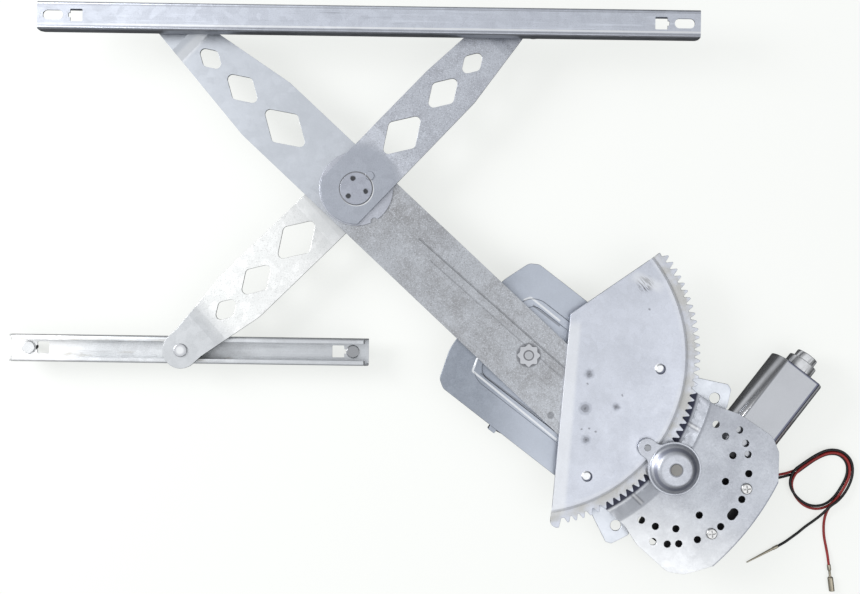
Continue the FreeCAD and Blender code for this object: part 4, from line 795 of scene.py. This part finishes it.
def build_camera():
    """Camera square over the part, as the photograph was taken, 900 mm above the arms."""
    data = bpy.data.cameras.new("camera")
    data.sensor_width = 36.0
    data.lens = CAMERA_LENS
    data.clip_start = 0.01
    data.clip_end = 30.0
    camera = bpy.data.objects.new("camera", data)
    camera.location = layout(*CAMERA_PLACE)
    camera.rotation_euler = (0.0, 0.0, CAMERA_ROLL)
    bpy.context.scene.collection.objects.link(camera)
    bpy.context.scene.camera = camera


def colour_property(name, default):
    """Colour of a finish, for the settings below."""
    return FloatVectorProperty(name=name, description="Colour of the " + name.lower(), subtype="COLOR",
                               default=default, min=0.0, max=1.0)


class FinishSettings(bpy.types.PropertyGroup):
    """Clean colours of the main pieces, under their patina and marks."""

    base: colour_property("Base plate", (0.335, 0.365, 0.42))
    bracket: colour_property("Motor bracket", (0.43, 0.45, 0.49))
    lift_arm: colour_property("Lift arm", (0.50, 0.52, 0.555))
    upper_arm: colour_property("Upper equalizer arm", (0.55, 0.575, 0.63))
    lower_arm: colour_property("Lower equalizer arm", (0.90, 0.91, 0.90))
    glass_rail: colour_property("Glass rail", (0.585, 0.615, 0.685))
    door_rail: colour_property("Door rail", (0.74, 0.76, 0.78))
    sector: colour_property("Sector gear", (0.60, 0.625, 0.695))
    can: colour_property("Motor can", (0.72, 0.73, 0.76))
    red_lead: colour_property("Red lead", (0.28, 0.009, 0.008))
    black_lead: colour_property("Black lead", (0.004, 0.004, 0.005))


class LeadSettings(bpy.types.PropertyGroup):
    """Sizes of the pieces that are not frame solids."""

    diameter: FloatProperty(name="Lead diameter", description="Outside diameter of the leads",
                            default=0.0024, min=0.001, unit="LENGTH")
    red_length: FloatProperty(name="Red lead length", description="Real length of the red lead",
                              default=RED_LENGTH, min=0.1, unit="LENGTH")
    black_length: FloatProperty(name="Black lead length", description="Real length of the black lead",
                                default=BLACK_LENGTH, min=0.1, unit="LENGTH")


class StudioSettings(bpy.types.PropertyGroup):
    """Light of the studio."""

    floor: FloatProperty(name="Floor", description="Glow of the floor", default=0.70, min=0.0, subtype="FACTOR")
    sky: FloatProperty(name="Sky", description="Strength of the light from overhead", default=0.85, min=0.0,
                       subtype="FACTOR")
    horizon: FloatProperty(name="Horizon", description="Share of the sky's light left at the horizon",
                           default=0.05, min=0.0, max=1.0, subtype="FACTOR")
    key: FloatProperty(name="Key", description="Power of the key lamp", default=26.0, min=0.0, unit="POWER")
    fill: FloatProperty(name="Fill", description="Power of the fill lamp", default=6.0, min=0.0, unit="POWER")


class REGULATOR_OT_base(bpy.types.Operator):
    """Finish the base plate, the motor bracket and the spring"""

    bl_idname = "regulator.base"
    bl_label = "Base"

    def execute(self, context):
        return dress(BASE, context)


class REGULATOR_OT_arms(bpy.types.Operator):
    """Finish the lift arm and the crossed arms with their hub and studs"""

    bl_idname = "regulator.arms"
    bl_label = "Arms"

    def execute(self, context):
        return dress(ARMS, context)


class REGULATOR_OT_rails(bpy.types.Operator):
    """Finish the glass rail, the door rail and their shoes"""

    bl_idname = "regulator.rails"
    bl_label = "Rails"

    def execute(self, context):
        return dress(RAILS, context)


class REGULATOR_OT_gears(bpy.types.Operator):
    """Finish the sector gear, the pinion with its cap, and the gearbox"""

    bl_idname = "regulator.gears"
    bl_label = "Gears"

    def execute(self, context):
        return dress(GEARS, context)


class REGULATOR_OT_motor(bpy.types.Operator):
    """Finish the motor can and what it holds"""

    bl_idname = "regulator.motor"
    bl_label = "Motor"

    def execute(self, context):
        return dress(MOTOR, context)


class REGULATOR_OT_leads(bpy.types.Operator):
    """Finish the wiring and lay the two motor leads along their routes"""

    bl_idname = "regulator.leads"
    bl_label = "Motor leads"

    def execute(self, context):
        dress(WIRING, context)
        settings = context.scene.regulator_leads
        lead("red_wire", RED_ROUTE, settings.red_length, settings.diameter)
        lead("black_wire", BLACK_ROUTE, settings.black_length, settings.diameter)
        return {"FINISHED"}


class REGULATOR_OT_stage(bpy.types.Operator):
    """Build the floor, lights and camera"""

    bl_idname = "regulator.stage"
    bl_label = "Studio"

    def execute(self, context):
        settings = context.scene.regulator_studio
        build_floor(settings)
        build_sky(settings)
        build_lamps(settings)
        build_camera()
        return {"FINISHED"}


class REGULATOR_PT_panel(bpy.types.Panel):
    """Sidebar panel of the regulator: its settings and its steps"""

    bl_label = "Regulator"
    bl_space_type = "VIEW_3D"
    bl_region_type = "UI"
    bl_category = "Regulator"

    def draw(self, context):
        scene = context.scene
        for settings in (scene.regulator_finish, scene.regulator_leads, scene.regulator_studio):
            box = self.layout.box()
            for name in type(settings).__annotations__:
                box.prop(settings, name)
        for step in STEPS:
            self.layout.operator(step.bl_idname)


STEPS = (REGULATOR_OT_base, REGULATOR_OT_arms, REGULATOR_OT_rails, REGULATOR_OT_gears, REGULATOR_OT_motor,
         REGULATOR_OT_leads, REGULATOR_OT_stage)
CLASSES = (FinishSettings, LeadSettings, StudioSettings, *STEPS, REGULATOR_PT_panel)


def register():
    for cls in CLASSES:
        bpy.utils.register_class(cls)
    bpy.types.Scene.regulator_finish = PointerProperty(type=FinishSettings)
    bpy.types.Scene.regulator_leads = PointerProperty(type=LeadSettings)
    bpy.types.Scene.regulator_studio = PointerProperty(type=StudioSettings)


def unregister():
    del bpy.types.Scene.regulator_studio
    del bpy.types.Scene.regulator_leads
    del bpy.types.Scene.regulator_finish
    for cls in reversed(CLASSES):
        bpy.utils.unregister_class(cls)


def main():
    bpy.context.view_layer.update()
    register()
    bpy.ops.regulator.base()
    bpy.ops.regulator.arms()
    bpy.ops.regulator.rails()
    bpy.ops.regulator.gears()
    bpy.ops.regulator.motor()
    bpy.ops.regulator.leads()
    bpy.ops.regulator.stage()


if __name__ == "__main__":
    main()
